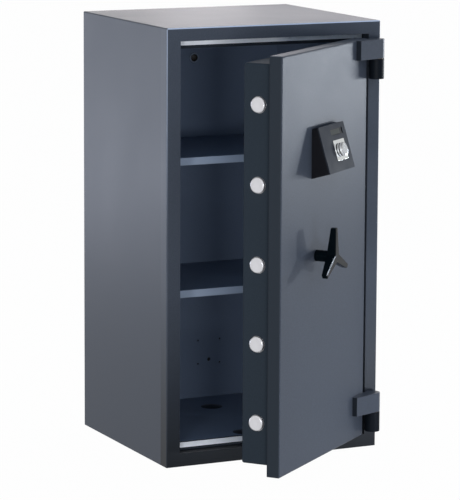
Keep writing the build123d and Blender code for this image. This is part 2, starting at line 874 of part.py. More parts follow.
# Lock inside the case, with the latch that drops behind the carrier's lug
lock_body_x = latch_x + latch_width / 2 - lock_body_size[0] / 2
lock_body_z = latch_bottom + latch_gap

with BuildPart(door_frame) as lock_body:
    block(
        (lock_body_x, lock_body_x + lock_body_size[0]),
        (door_back, door_back + lock_body_size[1]),
        (lock_body_z, lock_body_z + lock_body_size[2]),
    )
    block(
        (latch_x - latch_fit, latch_right + latch_fit),
        (latch_y[0] - latch_fit, latch_y[1] + latch_fit),
        (lock_body_z, latch_bottom + latch_length + latch_fit),
        Mode.SUBTRACT,
    )
pieces["lock_body"] = lock_body

with BuildPart(door_frame) as lock_latch:
    block((latch_x, latch_right), latch_y, (latch_bottom, latch_bottom + latch_length))
    chamfer(lock_latch.edges().group_by(Axis.Z)[0], lug_play)
pieces["lock_latch"] = lock_latch

# Lock input unit. Its profile is drawn in the door's side view, (y, z) from the foot of the panel.
tilt = radians(lock_tilt)


def lock_profile(inset, length):
    """Side outline of the housing, drawn in by a wall and cut short of the fascia"""
    foot = (0, inset / cos(tilt))
    heel = (inset * sin(tilt) - length * cos(tilt), inset * cos(tilt) + length * sin(tilt))
    run = lock_panel_height - 2 * inset
    brow = (heel[0] + run * sin(tilt), heel[1] + run * cos(tilt))
    crown = (0, brow[1] + brow[0] * tan(tilt))
    return [foot, heel, brow, crown]


side_plane = on_door(Plane(origin=(lock_left, door_front, lock_base_z), x_dir=(0, 1, 0), z_dir=(1, 0, 0)))

with BuildPart(door_frame) as lock_housing:
    with BuildSketch(side_plane):
        Polygon(*lock_profile(0, lock_foot - fascia), align=None)
    extrude(amount=lock_width)
    with BuildSketch(side_plane.offset(lock_wall)):
        Polygon(*lock_profile(lock_wall, lock_foot - fascia), align=None)
    extrude(amount=lock_width - 2 * lock_wall, mode=Mode.SUBTRACT)
pieces["lock_housing"] = lock_housing

# Planes parallel to the tilted panel, with their origin at its lower left corner
panel_normal = (0, -cos(tilt), sin(tilt))
panel_corner = (lock_left, door_front - lock_foot * cos(tilt), lock_base_z + lock_foot * sin(tilt))
panel = on_door(Plane(origin=panel_corner, x_dir=(1, 0, 0), z_dir=panel_normal))

with BuildPart(door_frame) as lock_fascia:
    with BuildSketch(panel.offset(-fascia)):
        with Locations((lock_width / 2, lock_panel_height / 2)):
            Rectangle(lock_width, lock_panel_height)
        with Locations(window_centre):
            Rectangle(*window_size, mode=Mode.SUBTRACT)
        with Locations(plate_centre):
            Circle(knob_shaft / 2 + knob_fit, mode=Mode.SUBTRACT)
    extrude(amount=fascia)
pieces["lock_fascia"] = lock_fascia

with BuildPart(door_frame) as lock_display:
    with BuildSketch(panel.offset(-fascia)):
        with Locations(window_centre):
            Rectangle(*window_size)
    extrude(amount=fascia - window_recess)
pieces["lock_display"] = lock_display

with BuildPart(door_frame) as dial_plate:
    with BuildSketch(panel):
        with Locations(plate_centre):
            Rectangle(*plate_size)
            Circle(knob_shaft / 2 + knob_fit, mode=Mode.SUBTRACT)
    extrude(amount=plate_thickness)
pieces["dial_plate"] = dial_plate

# Knob: two round rims with a waist between them, on a shaft through the plate and the board
knob_base = plate_thickness + knob_gap
waist_diameter = knob_diameter - 2 * knob_groove
knob_end = fascia + board_thickness + knob_gap

with BuildPart(door_frame) as lock_knob:
    with BuildSketch(panel.offset(knob_base)):
        with Locations(plate_centre):
            Circle(knob_diameter / 2)
    extrude(amount=knob_height)
    chamfer(lock_knob.edges().group_by(Axis(panel.origin, panel.z_dir))[-1], knob_gap)
    with BuildSketch(panel.offset(knob_base + knob_rim)):
        with Locations(plate_centre):
            Circle(knob_diameter / 2)
            Circle(waist_diameter / 2, mode=Mode.SUBTRACT)
    extrude(amount=knob_height - 2 * knob_rim, mode=Mode.SUBTRACT)
    with BuildSketch(panel.offset(-knob_end)):
        with Locations(plate_centre):
            Circle(knob_shaft / 2)
    extrude(amount=knob_end + knob_base)
pieces["lock_knob"] = lock_knob

with BuildPart(door_frame) as lock_board:
    with BuildSketch(panel.offset(-fascia - board_thickness)):
        with Locations((lock_width / 2, lock_panel_height / 2)):
            Rectangle(lock_width - 2 * board_margin, lock_panel_height - 2 * board_margin)
        with Locations(plate_centre):
            Circle(knob_shaft / 2 + knob_fit, mode=Mode.SUBTRACT)
    extrude(amount=board_thickness)
pieces["lock_board"] = lock_board

battery_x = lock_left + battery_offset[0]
battery_z = lock_base_z + battery_offset[1]

with BuildPart(door_frame) as lock_battery:
    block(
        (battery_x, battery_x + battery_size[0]),
        (door_front - battery_gap - battery_size[1], door_front - battery_gap),
        (battery_z, battery_z + battery_size[2]),
    )
pieces["lock_battery"] = lock_battery

os.makedirs("parts", exist_ok=True)
for name, piece in pieces.items():
    piece.part.label = name
    export_step(piece.part, f"parts/{name}.step")
print(len(pieces), "pieces, door open", open_angle, "degrees")
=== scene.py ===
# %% [markdown]
# # A security safe, dressed for a studio picture
# A security safe is a steel box inside a steel box, with a fire-resisting filling between them and
# a thick door that throws round bolts into the frame. Its construction arrives as a fixed frame of
# named nodes, each in its true place, in metres, with +Z up, the origin at the centre of the base
# and the door opening facing -Y. This lesson gives every node its finish. The pieces whose look
# depends on soft edges, turned profiles or pressed detail are modelled again by hand.

# %% Load the frame
import json
import math

import bpy
from mathutils import Matrix, Vector


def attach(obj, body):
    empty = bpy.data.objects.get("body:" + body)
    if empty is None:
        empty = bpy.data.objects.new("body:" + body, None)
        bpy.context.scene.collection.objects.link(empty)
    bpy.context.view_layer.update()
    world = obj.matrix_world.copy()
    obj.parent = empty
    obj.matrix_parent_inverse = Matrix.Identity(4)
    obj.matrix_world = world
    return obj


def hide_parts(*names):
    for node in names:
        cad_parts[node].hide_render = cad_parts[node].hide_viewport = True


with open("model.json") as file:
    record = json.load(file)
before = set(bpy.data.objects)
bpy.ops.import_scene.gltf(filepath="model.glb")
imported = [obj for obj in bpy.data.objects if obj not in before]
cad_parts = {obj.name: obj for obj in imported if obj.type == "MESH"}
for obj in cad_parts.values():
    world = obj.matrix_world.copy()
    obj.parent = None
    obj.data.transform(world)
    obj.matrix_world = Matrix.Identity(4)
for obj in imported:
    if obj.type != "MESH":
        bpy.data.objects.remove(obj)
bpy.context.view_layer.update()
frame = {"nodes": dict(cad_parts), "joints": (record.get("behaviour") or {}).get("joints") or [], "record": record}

nodes = frame["nodes"]
joints = {joint["name"]: joint for joint in frame["joints"]}

# %% [markdown]
# ## The camera
# The picture was taken from the left and a little above, with a long lens from more than six
# metres away, so upright edges stay nearly parallel. The camera is placed from a fit to the
# corners of the body. A small downward shift does what a product photographer does: it keeps the
# lens fairly level and lowers the frame, where more tilt would make the sides lean.

# %% Set the camera
SENSOR = 36.0
PICTURE_HEIGHT = 500
FOCAL_PIXELS = 2886.0
camera_place = Vector((-2.9113, -6.0474, 1.5939))
camera_turn = math.radians(-25.7305)
camera_tilt = math.radians(8.7131)
camera_roll = math.radians(0.2846)

camera_data = bpy.data.cameras.new("studio_camera")
camera_data.sensor_width = SENSOR
camera_data.lens = FOCAL_PIXELS / PICTURE_HEIGHT * SENSOR
camera_data.shift_y = -0.1
camera_data.clip_start = 0.1
camera_data.clip_end = 100.0
camera = bpy.data.objects.new("studio_camera", camera_data)
bpy.context.scene.collection.objects.link(camera)
camera.matrix_world = (
    Matrix.Translation(camera_place)
    @ Matrix.Rotation(camera_turn, 4, "Z")
    @ Matrix.Rotation(math.radians(90) - camera_tilt, 4, "X")
    @ Matrix.Rotation(camera_roll, 4, "Z")
)
bpy.context.scene.camera = camera
print("lens", round(camera_data.lens, 1), "mm")

# %% [markdown]
# ## Two frames to work in
# Pieces on the door are easiest to model with the door shut, because their sides then run along
# X, Y and Z. The door's frame carries them from there to where the open door has them: a turn
# about the hinge pins. The lock's panel is tilted as well, so it has a frame of its own, with its
# origin on the knob's axis, X along the panel, Y up it and Z out of it. Both come from the joints,
# so they agree with the construction to the last digit.

# %% Frames of the door and of the lock's panel
pin_place = Vector(joints["door_hinge"]["pos_m"])
open_angle = -math.radians(joints["door_hinge"]["range_deg"][0])
door_frame = (
    Matrix.Translation(pin_place) @ Matrix.Rotation(open_angle, 4, "Z") @ Matrix.Translation(-pin_place)
)


def frame_at(origin, along, up):
    """A frame with its origin, X and Y given, and Z square to both"""
    along, up = Vector(along), Vector(up)
    turn = Matrix((along, up, along.cross(up))).transposed().to_4x4()
    return Matrix.Translation(Vector(origin)) @ turn


panel_out = Vector(joints["knob_turn"]["axis"]).normalized()
panel_along = (door_frame.to_3x3() @ Vector((1, 0, 0))).normalized()
panel_frame = frame_at(joints["knob_turn"]["pos_m"], panel_along, panel_out.cross(panel_along))


def box_in(node, place):
    """Lowest and highest corner of a node, as seen in a frame"""
    corners = [place.inverted() @ vertex.co for vertex in nodes[node].data.vertices]
    low = Vector([min(corner[i] for corner in corners) for i in range(3)])
    high = Vector([max(corner[i] for corner in corners) for i in range(3)])
    return low, high


print("door open by", round(math.degrees(open_angle), 1), "degrees")
print("door's far corner", [round(v, 4) for v in box_in("door_pan", door_frame)[1]])
print("panel's far corner", [round(v, 4) for v in box_in("lock_fascia", panel_frame)[1]])

# %% [markdown]
# ## Helpers for modelling by hand
# Every piece starts as a primitive at its size and place and is then shaped in edit mode. An
# operator works on whatever is selected, so each helper first clears the selection and then picks
# faces or edges by where they lie or which way they face. That is what a modeller does with the
# mouse, written down so that it can be repeated.

# %% Selecting and starting pieces
def clear_selection():
    """Leaves edit mode and deselects every object"""
    if bpy.context.object and bpy.context.object.mode != "OBJECT":
        bpy.ops.object.mode_set(mode="OBJECT")
    bpy.ops.object.select_all(action="DESELECT")


def make_active(piece):
    """Makes a piece the only selected one"""
    clear_selection()
    piece.select_set(True)
    bpy.context.view_layer.objects.active = piece


def settle(piece):
    """Puts the piece's place, turn and size into its mesh"""
    make_active(piece)
    bpy.ops.object.transform_apply(location=True, rotation=True, scale=True)


def name_piece(name):
    """Names the primitive that was just added"""
    piece = bpy.context.active_object
    piece.name = name
    piece.data.name = name
    settle(piece)
    return piece


def mm(*values):
    """Lengths in millimetres, given in metres"""
    return tuple(value / 1000 for value in values)


def block(name, low, high):
    """A box between two corners"""
    clear_selection()
    low, high = Vector(low), Vector(high)
    bpy.ops.mesh.primitive_cube_add(size=1, location=(low + high) / 2, scale=high - low)
    return name_piece(name)


def pick(piece, kind, test):
    """Enters edit mode with the faces or edges selected whose middle and direction pass the test"""
    make_active(piece)
    mesh = piece.data
    bpy.context.tool_settings.mesh_select_mode = (False, kind == "EDGE", kind == "FACE")
    for group in (mesh.vertices, mesh.edges, mesh.polygons):
        group.foreach_set("select", [False] * len(group))
    if kind == "FACE":
        for face in mesh.polygons:
            face.select = test(face.center, face.normal)
    else:
        for edge in mesh.edges:
            start, end = (mesh.vertices[i].co for i in edge.vertices)
            edge.select = test((start + end) / 2, (end - start).normalized())
    bpy.ops.object.mode_set(mode="EDIT")


def leave():
    """Leaves edit mode"""
    bpy.ops.object.mode_set(mode="OBJECT")


# %% [markdown]
# Once edges or faces are picked, a few operators and modifiers do most of the work. Bevel rounds
# chosen edges or all sharp ones, Boolean takes one shape out of another, and Weighted Normal keeps
# a large face flat where it meets a small round. Each modifier is applied at once, so that the next
# step works on the real mesh.

# %% Shaping and finishing pieces
def round_edges(piece, radius, test, segments=3):
    """Bevels the edges that pass the test"""
    pick(piece, "EDGE", test)
    bpy.ops.mesh.bevel(offset=radius, offset_type="OFFSET", segments=segments, profile=0.5, affect="EDGES")
    leave()


def apply_modifier(piece, kind, **settings):
    """Adds a modifier with its settings, and applies it"""
    make_active(piece)
    modifier = piece.modifiers.new(kind.lower(), kind)
    for key, value in settings.items():
        setattr(modifier, key, value)
    bpy.ops.object.modifier_apply(modifier=modifier.name)


def soften(piece, radius, angle=30.0, segments=2):
    """Rounds every edge sharper than an angle, as tumbling or painting would"""
    apply_modifier(
        piece, "BEVEL", width=radius, segments=segments, limit_method="ANGLE",
        angle_limit=math.radians(angle), harden_normals=False, use_clamp_overlap=True,
    )


def cut(piece, tool):
    """Takes the tool's shape out of the piece, and throws the tool away"""
    apply_modifier(piece, "BOOLEAN", operation="DIFFERENCE", object=tool, solver="EXACT")
    bpy.data.objects.remove(tool)


def smooth(piece, angle=40.0):
    """Smooth shading that keeps sharp edges sharp and large faces flat"""
    make_active(piece)
    bpy.ops.object.shade_smooth_by_angle(angle=math.radians(angle))
    apply_modifier(piece, "WEIGHTED_NORMAL", keep_sharp=True, weight=100)


def join(name, pieces):
    """Makes several meshes one piece"""
    clear_selection()
    for piece in pieces:
        piece.select_set(True)
    bpy.context.view_layer.objects.active = pieces[0]
    bpy.ops.object.join()
    pieces[0].name = name
    pieces[0].data.name = name
    return pieces[0]


def tidy_mesh(piece):
    """Merges doubled corners and turns every face outwards"""
    make_active(piece)
    bpy.ops.object.mode_set(mode="EDIT")
    bpy.ops.mesh.select_all(action="SELECT")
    bpy.ops.mesh.remove_doubles(threshold=0.00001)
    bpy.ops.mesh.normals_make_consistent(inside=False)
    leave()


# %% [markdown]
# Many pieces of a safe are plate or bar of one outline all along. They are drawn as the outline
# first, corner by corner, then filled and pulled out to their length.

# %% Drawing outlines
def drawn_line(name, corners):
    """A line of edges through the corners, left selected in edit mode"""
    clear_selection()
    bpy.ops.mesh.primitive_plane_add(size=0.001, location=corners[0])
    piece = name_piece(name)
    bpy.ops.object.mode_set(mode="EDIT")
    bpy.context.tool_settings.mesh_select_mode = (True, False, False)
    bpy.ops.mesh.select_all(action="SELECT")
    bpy.ops.mesh.merge(type="CENTER")
    for start, end in zip(corners, corners[1:]):
        bpy.ops.mesh.extrude_region_move(TRANSFORM_OT_translate={"value": Vector(end) - Vector(start)})
    bpy.ops.mesh.select_all(action="SELECT")
    return piece


def drawn(name, outline, height):
    """A bar of one outline, given in XY, pulled up along Z"""
    corners = [(x, y, 0) for x, y in outline]
    piece = drawn_line(name, corners + corners[:1])
    bpy.ops.mesh.remove_doubles(threshold=0.00001)
    bpy.ops.mesh.edge_face_add()
    bpy.ops.mesh.extrude_region_move(TRANSFORM_OT_translate={"value": (0, 0, height)})
    leave()
    tidy_mesh(piece)
    return piece


def arc(radius, start, end, steps):
    """Corners on a round about the origin, between two angles in degrees"""
    angles = [math.radians(start + (end - start) * i / steps) for i in range(steps + 1)]
    return [(radius * math.cos(angle), radius * math.sin(angle)) for angle in angles]


# %% [markdown]
# Round pieces are turned, as on a lathe: half of the section is drawn as a line of corners, and
# Spin carries it once round the axis. The place of each corner before the piece is put on the safe
# is kept as an attribute, so that a finish can draw the lathe's fine rings about the true axis.

# %% Turning on a lathe
def turned(name, profile, steps=64):
    """A round piece about Z, its section given as (radius, height) corners"""
    piece = drawn_line(name, [(radius, 0, height) for radius, height in profile])
    bpy.ops.mesh.spin(steps=steps, angle=2 * math.pi, center=(0, 0, 0), axis=(0, 0, 1))
    leave()
    tidy_mesh(piece)
    keep_lathe_place(piece)
    return piece


def keep_lathe_place(piece):
    """Remembers each corner's place about the axis"""
    attribute = piece.data.attributes.new("lathe_place", "FLOAT_VECTOR", "POINT")
    for i, vertex in enumerate(piece.data.vertices):
        attribute.data[i].vector = vertex.co


def copied(piece, name, offset=(0, 0, 0)):
    """A second piece with its own mesh, moved by an offset"""
    again = piece.copy()
    again.data = piece.data.copy()
    again.name = name
    again.data.name = name
    bpy.context.scene.collection.objects.link(again)
    again.location = Vector(again.location) + Vector(offset)
    settle(again)
    return again


def lay(piece, place):
    """Carries a piece, modelled in a frame, to where that frame is on the safe"""
    piece.matrix_world = place @ piece.matrix_world
    settle(piece)


def bore(piece, radius, start, end, steps=40):
    """Takes a round hole about Z out of the piece, between two heights"""
    drill = drawn("drill", arc(radius, 0, 360, steps)[:-1], end - start)
    drill.location.z = start
    settle(drill)
    cut(piece, drill)


# %% [markdown]
# A finished piece is shaded, told which body it moves with, put in place of the nodes of the
# construction that it replaces, which are hidden, and measured once more.

# %% Handing a piece over
made = []


def hand_over(piece, body, slot, *replaced, angle=40.0):
    """Lets a finished piece ride on its body and stand for the nodes that it replaces"""
    smooth(piece, angle)
    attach(piece, body)
    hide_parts(*replaced)
    made.append(piece.name)
    spans = [[vertex.co[i] for vertex in piece.data.vertices] for i in range(3)]
    size = [round(max(span) - min(span), 4) for span in spans]
    print(piece.name, "on", body, "faces", len(piece.data.polygons), "size", size)


# %% [markdown]
# ## Hinges
# Each hinge is a knuckle welded to the frame and an arm on the door that turns above it on a pin.
# The arm lies flat on the door, tapers to a blunt tip and ends in the round of the knuckle. A
# Boolean of a bar and a cylinder would leave slivers where the bar runs into the round, so the
# whole outline is drawn as one line and pulled up. A small bevel then stands for the rounding that
# grinding and paint leave, and catches the thin line of light that the eye reads as thick steel. The
# bore for the pin stops inside the arm, so that no hole shows on top.

# %% Hinge arms and knuckles
KNUCKLE_RADIUS = 0.0175
PIN_HOLE_RADIUS = 0.0061
PIN_SEAT, PIN_REACH = 0.006, 0.030
ARM_TIP = 0.0115
ARM_HEEL_ANGLE = 120 + 360
HINGE_EDGE = 0.0009
NECK_LEFT, NECK_RIGHT = mm(-6, 14)
ROUND_STEPS = 60
DRILL_PAST = 0.004
door_low, door_high = box_in("door_pan", door_frame)

for level in ("lower", "upper"):
    low, high = box_in("hinge_arm_" + level, door_frame)
    reach, face = low.x - pin_place.x, high.y - pin_place.y
    tip = Vector((reach, face - ARM_TIP))
    tangent = 180 + math.degrees(math.acos(KNUCKLE_RADIUS / tip.length) - math.atan(tip.y / -tip.x))
    outline = arc(KNUCKLE_RADIUS, tangent, ARM_HEEL_ANGLE, ROUND_STEPS)
    outline += [(door_high.x - pin_place.x, face), (reach, face), tuple(tip)]
    arm = drawn("tapered_arm_" + level, outline, high.z - low.z)
    soften(arm, HINGE_EDGE, segments=3)
    bore(arm, PIN_HOLE_RADIUS, -DRILL_PAST, PIN_REACH)
    lay(arm, door_frame @ Matrix.Translation((pin_place.x, pin_place.y, low.z)))
    hand_over(arm, "door", "door_paint", "hinge_arm_" + level)

    low, high = box_in("hinge_knuckle_" + level, Matrix())
    face = high.y - pin_place.y
    start = math.degrees(math.acos(NECK_LEFT / KNUCKLE_RADIUS))
    end = math.degrees(math.acos(NECK_RIGHT / KNUCKLE_RADIUS)) + 360
    outline = arc(KNUCKLE_RADIUS, start, end, ROUND_STEPS) + [(NECK_RIGHT, face), (NECK_LEFT, face)]
    knuckle = drawn("welded_knuckle_" + level, outline, high.z - low.z)
    bore(knuckle, PIN_HOLE_RADIUS, PIN_SEAT, high.z - low.z + DRILL_PAST)
    soften(knuckle, HINGE_EDGE, segments=3)
    lay(knuckle, Matrix.Translation((pin_place.x, pin_place.y, low.z)))
    hand_over(knuckle, "safe_body", "body_paint", "hinge_knuckle_" + level)

# %% [markdown]
# ## Locking bolts
# The five round bolts are turned from bright bar: a wide nose with a chamfer that helps it find the
# frame, then a spigot and a thread that hold it on the carrier. Turning is the true way to make
# them, so the section is spun. Two short chamfers in place of one sharp one give the soft rim of
# light round each nose. One bolt is made and then copied up the door.

# %% Turn the bolts
BOLT = 0.0175
SPIGOT, THREAD = 0.008, 0.006
SPIGOT_BACK, THREAD_BACK = 0.053, 0.065
low, high = box_in("locking_bolt_1", door_frame)
nose, stem_end = -low.x, -high.x
spigot_start, thread_start = nose - SPIGOT_BACK, nose - THREAD_BACK
bolt_profile = [
    (0, nose),
    (BOLT - 0.0030, nose),
    (BOLT - 0.0024, nose - 0.0001),
    (BOLT - 0.0003, nose - 0.0021),
    (BOLT, nose - 0.0027),
    (BOLT, spigot_start),
    (SPIGOT, spigot_start),
    (SPIGOT, thread_start),
    (THREAD, thread_start),
    (THREAD, stem_end),
    (0, stem_end),
]
bolt_depth = (low.y + high.y) / 2
master_bolt = turned("turned_bolt", bolt_profile, steps=72)
for number in range(1, 6):
    node = f"locking_bolt_{number}"
    low, high = box_in(node, door_frame)
    bolt = copied(master_bolt, f"turned_bolt_{number}_laid")
    bolt_axis = frame_at((0, bolt_depth, (low.z + high.z) / 2), (0, 0, 1), (0, 1, 0))
    lay(bolt, door_frame @ bolt_axis)
    hand_over(bolt, "bolt_work", "steel", node)
bpy.data.objects.remove(master_bolt)

# %% [markdown]
# ## The handle
# The handle is a cast star of three tapering spokes on a round post. A star is made most simply
# from its middle: a three-sided prism whose corners are the notches between the spokes. Each of
# its three sides is pulled out into a spoke, narrowed at the tip, and thinned from the back, so
# that the front stays flat. A chamfer all round the front catches the lamp. The handle is shaded
# with a smaller angle than the other pieces, because a larger one would blend the chamfer's
# direction with the front's and smear the streak of light along it.

# %% Model the handle
handle_frame = door_frame @ frame_at(
    door_frame.inverted() @ Vector(joints["handle_turn"]["pos_m"]), (1, 0, 0), (0, 0, 1)
)
HUB_DEPTH = 0.021
TIP_DEPTH = 0.013
SPOKE_REACH = 0.066
SPOKE_ROOT, SPOKE_TIP = 0.0205, 0.0100
SPOKE_ANGLES = (94, 214, 334)
FRONT_CHAMFER = 0.0017
POST_RADIUS, POST_CHAMFER = 0.013, 0.0008
SPINDLE_HOLE, SPINDLE_HOLE_DEPTH = 0.0071, 0.025
low, high = box_in("handle", handle_frame)
hub_face, hub_back = high.z, high.z - HUB_DEPTH
half_taper = (SPOKE_ROOT - SPOKE_TIP) / 2 / SPOKE_REACH
notch = SPOKE_ROOT / 2 / (math.sin(math.radians(60)) + half_taper * math.cos(math.radians(60)))

clear_selection()
bpy.ops.mesh.primitive_cylinder_add(
    vertices=3, radius=notch, depth=HUB_DEPTH, location=(0, 0, hub_face - HUB_DEPTH / 2),
    rotation=(0, 0, math.radians(SPOKE_ANGLES[0] + 60 - 90)),
)
handle = name_piece("three_spoke_handle")


def pull_spoke(angle):
    """Pulls one side of the prism out into a spoke, first to the post's edge, then to the tip"""
    out = Vector((math.cos(math.radians(angle)), math.sin(math.radians(angle)), 0))
    pick(handle, "FACE", lambda middle, facing: facing.dot(out) > 0.99)
    apothem = notch / 2
    steps = (
        (POST_RADIUS - apothem, HUB_DEPTH, HUB_DEPTH),
        (SPOKE_REACH - POST_RADIUS, HUB_DEPTH, TIP_DEPTH),
    )
    place = apothem
    for step, depth_before, depth_after in steps:
        width_before = SPOKE_ROOT - 2 * half_taper * place
        place += step
        width_after = SPOKE_ROOT - 2 * half_taper * place
        bpy.ops.mesh.extrude_region_move(TRANSFORM_OT_translate={"value": out * step})
        narrow, thin = width_after / width_before, depth_after / depth_before
        bpy.ops.transform.resize(
            value=(1, narrow, thin), orient_type="GLOBAL",
            orient_matrix=Matrix.Rotation(math.radians(angle), 3, "Z"), orient_matrix_type="GLOBAL",
            center_override=out * place + Vector((0, 0, hub_face)),
        )
    leave()


def on_front_edge(middle, along):
    """The edges round the front of the star"""
    return abs(middle.z - hub_face) < 1e-5 and middle.xy.length > notch * 0.9


for angle in SPOKE_ANGLES:
    pull_spoke(angle)
tidy_mesh(handle)
reach = max(vertex.co.xy.length for vertex in handle.data.vertices)
print("spoke reach", round(reach, 4), "faces", len(handle.data.polygons))
round_edges(handle, FRONT_CHAMFER, on_front_edge, segments=1)
soften(handle, 0.0005, angle=50)

# %% [markdown]
# The post behind the hub is turned, with a small chamfer at its foot and a hole for the spindle. It
# reaches a millimetre into the star, so that the Boolean has one clear body to make of the two.

# %% Add the handle's post
post_top = hub_back + 0.001
post = turned("post", [
    (0, post_top),
    (POST_RADIUS, post_top),
    (POST_RADIUS, low.z + POST_CHAMFER),
    (POST_RADIUS - POST_CHAMFER, low.z),
    (SPINDLE_HOLE, low.z),
    (SPINDLE_HOLE, low.z + SPINDLE_HOLE_DEPTH),
    (0, low.z + SPINDLE_HOLE_DEPTH),
], steps=48)
apply_modifier(handle, "BOOLEAN", operation="UNION", object=post, solver="EXACT")
bpy.data.objects.remove(post)
lay(handle, handle_frame)
hand_over(handle, "handle", "handle_paint", "handle", angle=20.0)

# %% [markdown]
# ## The lock's input unit
# A moulded housing stands on the door and holds a flat face tilted up towards the user. The housing
# is drawn from the side, pulled out to its width, opened towards the door and the face, and given
# a wall with Solidify, as a moulding has. The face is a plate with rounded corners. Its window and
# the hole for the knob's shaft are cut with Booleans, because both are plain cut-outs in a flat part.

# %% Model the housing
FACE = 0.003
HEEL_REACH = 0.047
HOUSING_WALL = 0.0025
CORNER = 0.003
tilt = math.asin(panel_out.z)
lean = Vector((-math.cos(tilt), math.sin(tilt)))
climb = Vector((math.sin(tilt), math.cos(tilt)))
face_low, face_high = box_in("lock_fascia", panel_frame)
low, high = box_in("lock_housing", door_frame)
heel = lean * (HEEL_REACH - FACE)
brow = heel + climb * (face_high.y - face_low.y)
crown = Vector((0, brow.y + brow.x * math.tan(tilt)))

housing = drawn("moulded_housing", [(0, 0), tuple(heel), tuple(brow), tuple(crown)], high.x - low.x)
pick(housing, "FACE", lambda middle, facing: facing.x > 0.99 or facing.xy.dot(lean) > 0.99)
bpy.ops.mesh.delete(type="FACE")
leave()


def on_long_edge(middle, along):
    """The four edges that run from the door to the face"""
    at_side = min(abs(middle.z), abs(middle.z - (high.x - low.x))) < 1e-5
    across = abs(Vector(along[:2]).dot(climb)) > 0.9 or abs(along.z) > 0.5 or middle.x > -1e-5
    return at_side and not across


round_edges(housing, CORNER, on_long_edge, segments=5)
apply_modifier(housing, "SOLIDIFY", thickness=HOUSING_WALL, offset=-1, use_even_offset=True)
soften(housing, 0.0004, angle=50)
lay(housing, door_frame @ frame_at((low.x, high.y, low.z), (0, 1, 0), (0, 0, 1)))
hand_over(housing, "door", "lock_case", "lock_housing")

# %% Model the face
SHAFT_HOLE = 0.0031
CUT_PAST = 0.01
face = block("tilted_face", face_low, face_high)
round_edges(face, CORNER, lambda middle, along: abs(along.z) > 0.9, segments=5)
window_low, window_high = box_in("lock_display", panel_frame)
through = Vector((0, 0, CUT_PAST))
cut(face, block("window_cutter", window_low - through, window_high + through))
bore(face, SHAFT_HOLE, -CUT_PAST, CUT_PAST, steps=32)
soften(face, 0.0005, angle=50)
lay(face, panel_frame)
hand_over(face, "door", "lock_face", "lock_fascia")

# %% [markdown]
# The display is a pane set back in the window. Its glass is dark, and its liquid-crystal field,
# which is the greenish part, stops short of the right end. One bisect parts the two, and an inset
# frames the field.

# %% Model the display
FIELD_SHORT = 0.0125
FIELD_RIM = 0.0012
display = block("display_pane", window_low, window_high)
field_end = window_high.x - FIELD_SHORT
pick(display, "FACE", lambda middle, facing: True)
bpy.ops.mesh.bisect(plane_co=(field_end, 0, 0), plane_no=(1, 0, 0), use_fill=False)
leave()
pick(display, "FACE", lambda middle, facing: facing.z > 0.9 and middle.x < field_end)
bpy.ops.mesh.inset(thickness=FIELD_RIM, depth=0)
leave()
field = max((face for face in display.data.polygons if face.select), key=lambda face: face.area)
field_middle = panel_frame @ field.center
lay(display, panel_frame)
hand_over(display, "door", "display", "lock_display")

# %% [markdown]
# The dial plate under the knob is polished sheet. The knob is turned, with one groove near the
# plate that gives the fingers a hold. The groove is coloured black as a painted shade, and the
# polished plate mirrors it, so the eye sees two dark arcs, the groove and its image.

# %% Model the dial plate
low, high = box_in("dial_plate", panel_frame)
plate = block("polished_plate", low, high)
round_edges(plate, 0.0008, lambda middle, along: abs(along.z) > 0.9, segments=3)
bore(plate, SHAFT_HOLE, -CUT_PAST, CUT_PAST, steps=32)
soften(plate, 0.0002, angle=50)
lay(plate, panel_frame)
hand_over(plate, "door", "steel", "dial_plate")

# %% Turn the knob
SHAFT = 0.003
KNOB_BASE, KNOB_RIM = 0.0013, 0.0008
GROOVE, GROOVE_DEPTH, GROOVE_SLOPE = 0.0028, 0.0018, 0.0003
groove_start = KNOB_BASE + 0.0014
groove_end = groove_start + GROOVE
low, high = box_in("lock_knob", panel_frame)
knob_radius, knob_top = (high.x - low.x) / 2, high.z
knob = turned("grooved_knob", [
    (0, knob_top - 0.0001),
    (knob_radius - 0.0030, knob_top),
    (knob_radius - 0.0007, knob_top - 0.0001),
    (knob_radius - 0.0002, knob_top - 0.0003),
    (knob_radius, knob_top - KNOB_RIM),
    (knob_radius, groove_end),
    (knob_radius - GROOVE_DEPTH, groove_end - GROOVE_SLOPE),
    (knob_radius - GROOVE_DEPTH, groove_start + GROOVE_SLOPE),
    (knob_radius, groove_start),
    (knob_radius, KNOB_BASE + 0.0004),
    (knob_radius - 0.0004, KNOB_BASE),
    (SHAFT, KNOB_BASE),
    (SHAFT, low.z),
    (0, low.z),
], steps=72)
lay(knob, panel_frame)
hand_over(knob, "knob", "chrome", "lock_knob")

# %% [markdown]
# ## Seals, plugs and the cable hole
# Pale fire seals are stuck on the rebate that the door closes against. Each is a strip with a
# shallow channel pressed along it and soft edges. Domed plugs close the anchor holes in the floor,
# and a rubber ring lines the cable hole in the back wall. The round ones are turned.

# %% Model the seals
CHANNEL_EDGE, CHANNEL_DEPTH = 0.0030, 0.0005
for node in ("seal_bottom", "seal_top", "seal_hinge_side"):
    low, high = box_in(node, Matrix())
    strip = block(node + "_strip", low, high)
    pick(strip, "FACE", lambda middle, facing: facing.y < -0.9)
    bpy.ops.mesh.inset(thickness=CHANNEL_EDGE, depth=-CHANNEL_DEPTH)
    leave()
    soften(strip, 0.0005, angle=20, segments=3)
    hand_over(strip, "safe_body", "seal", node)

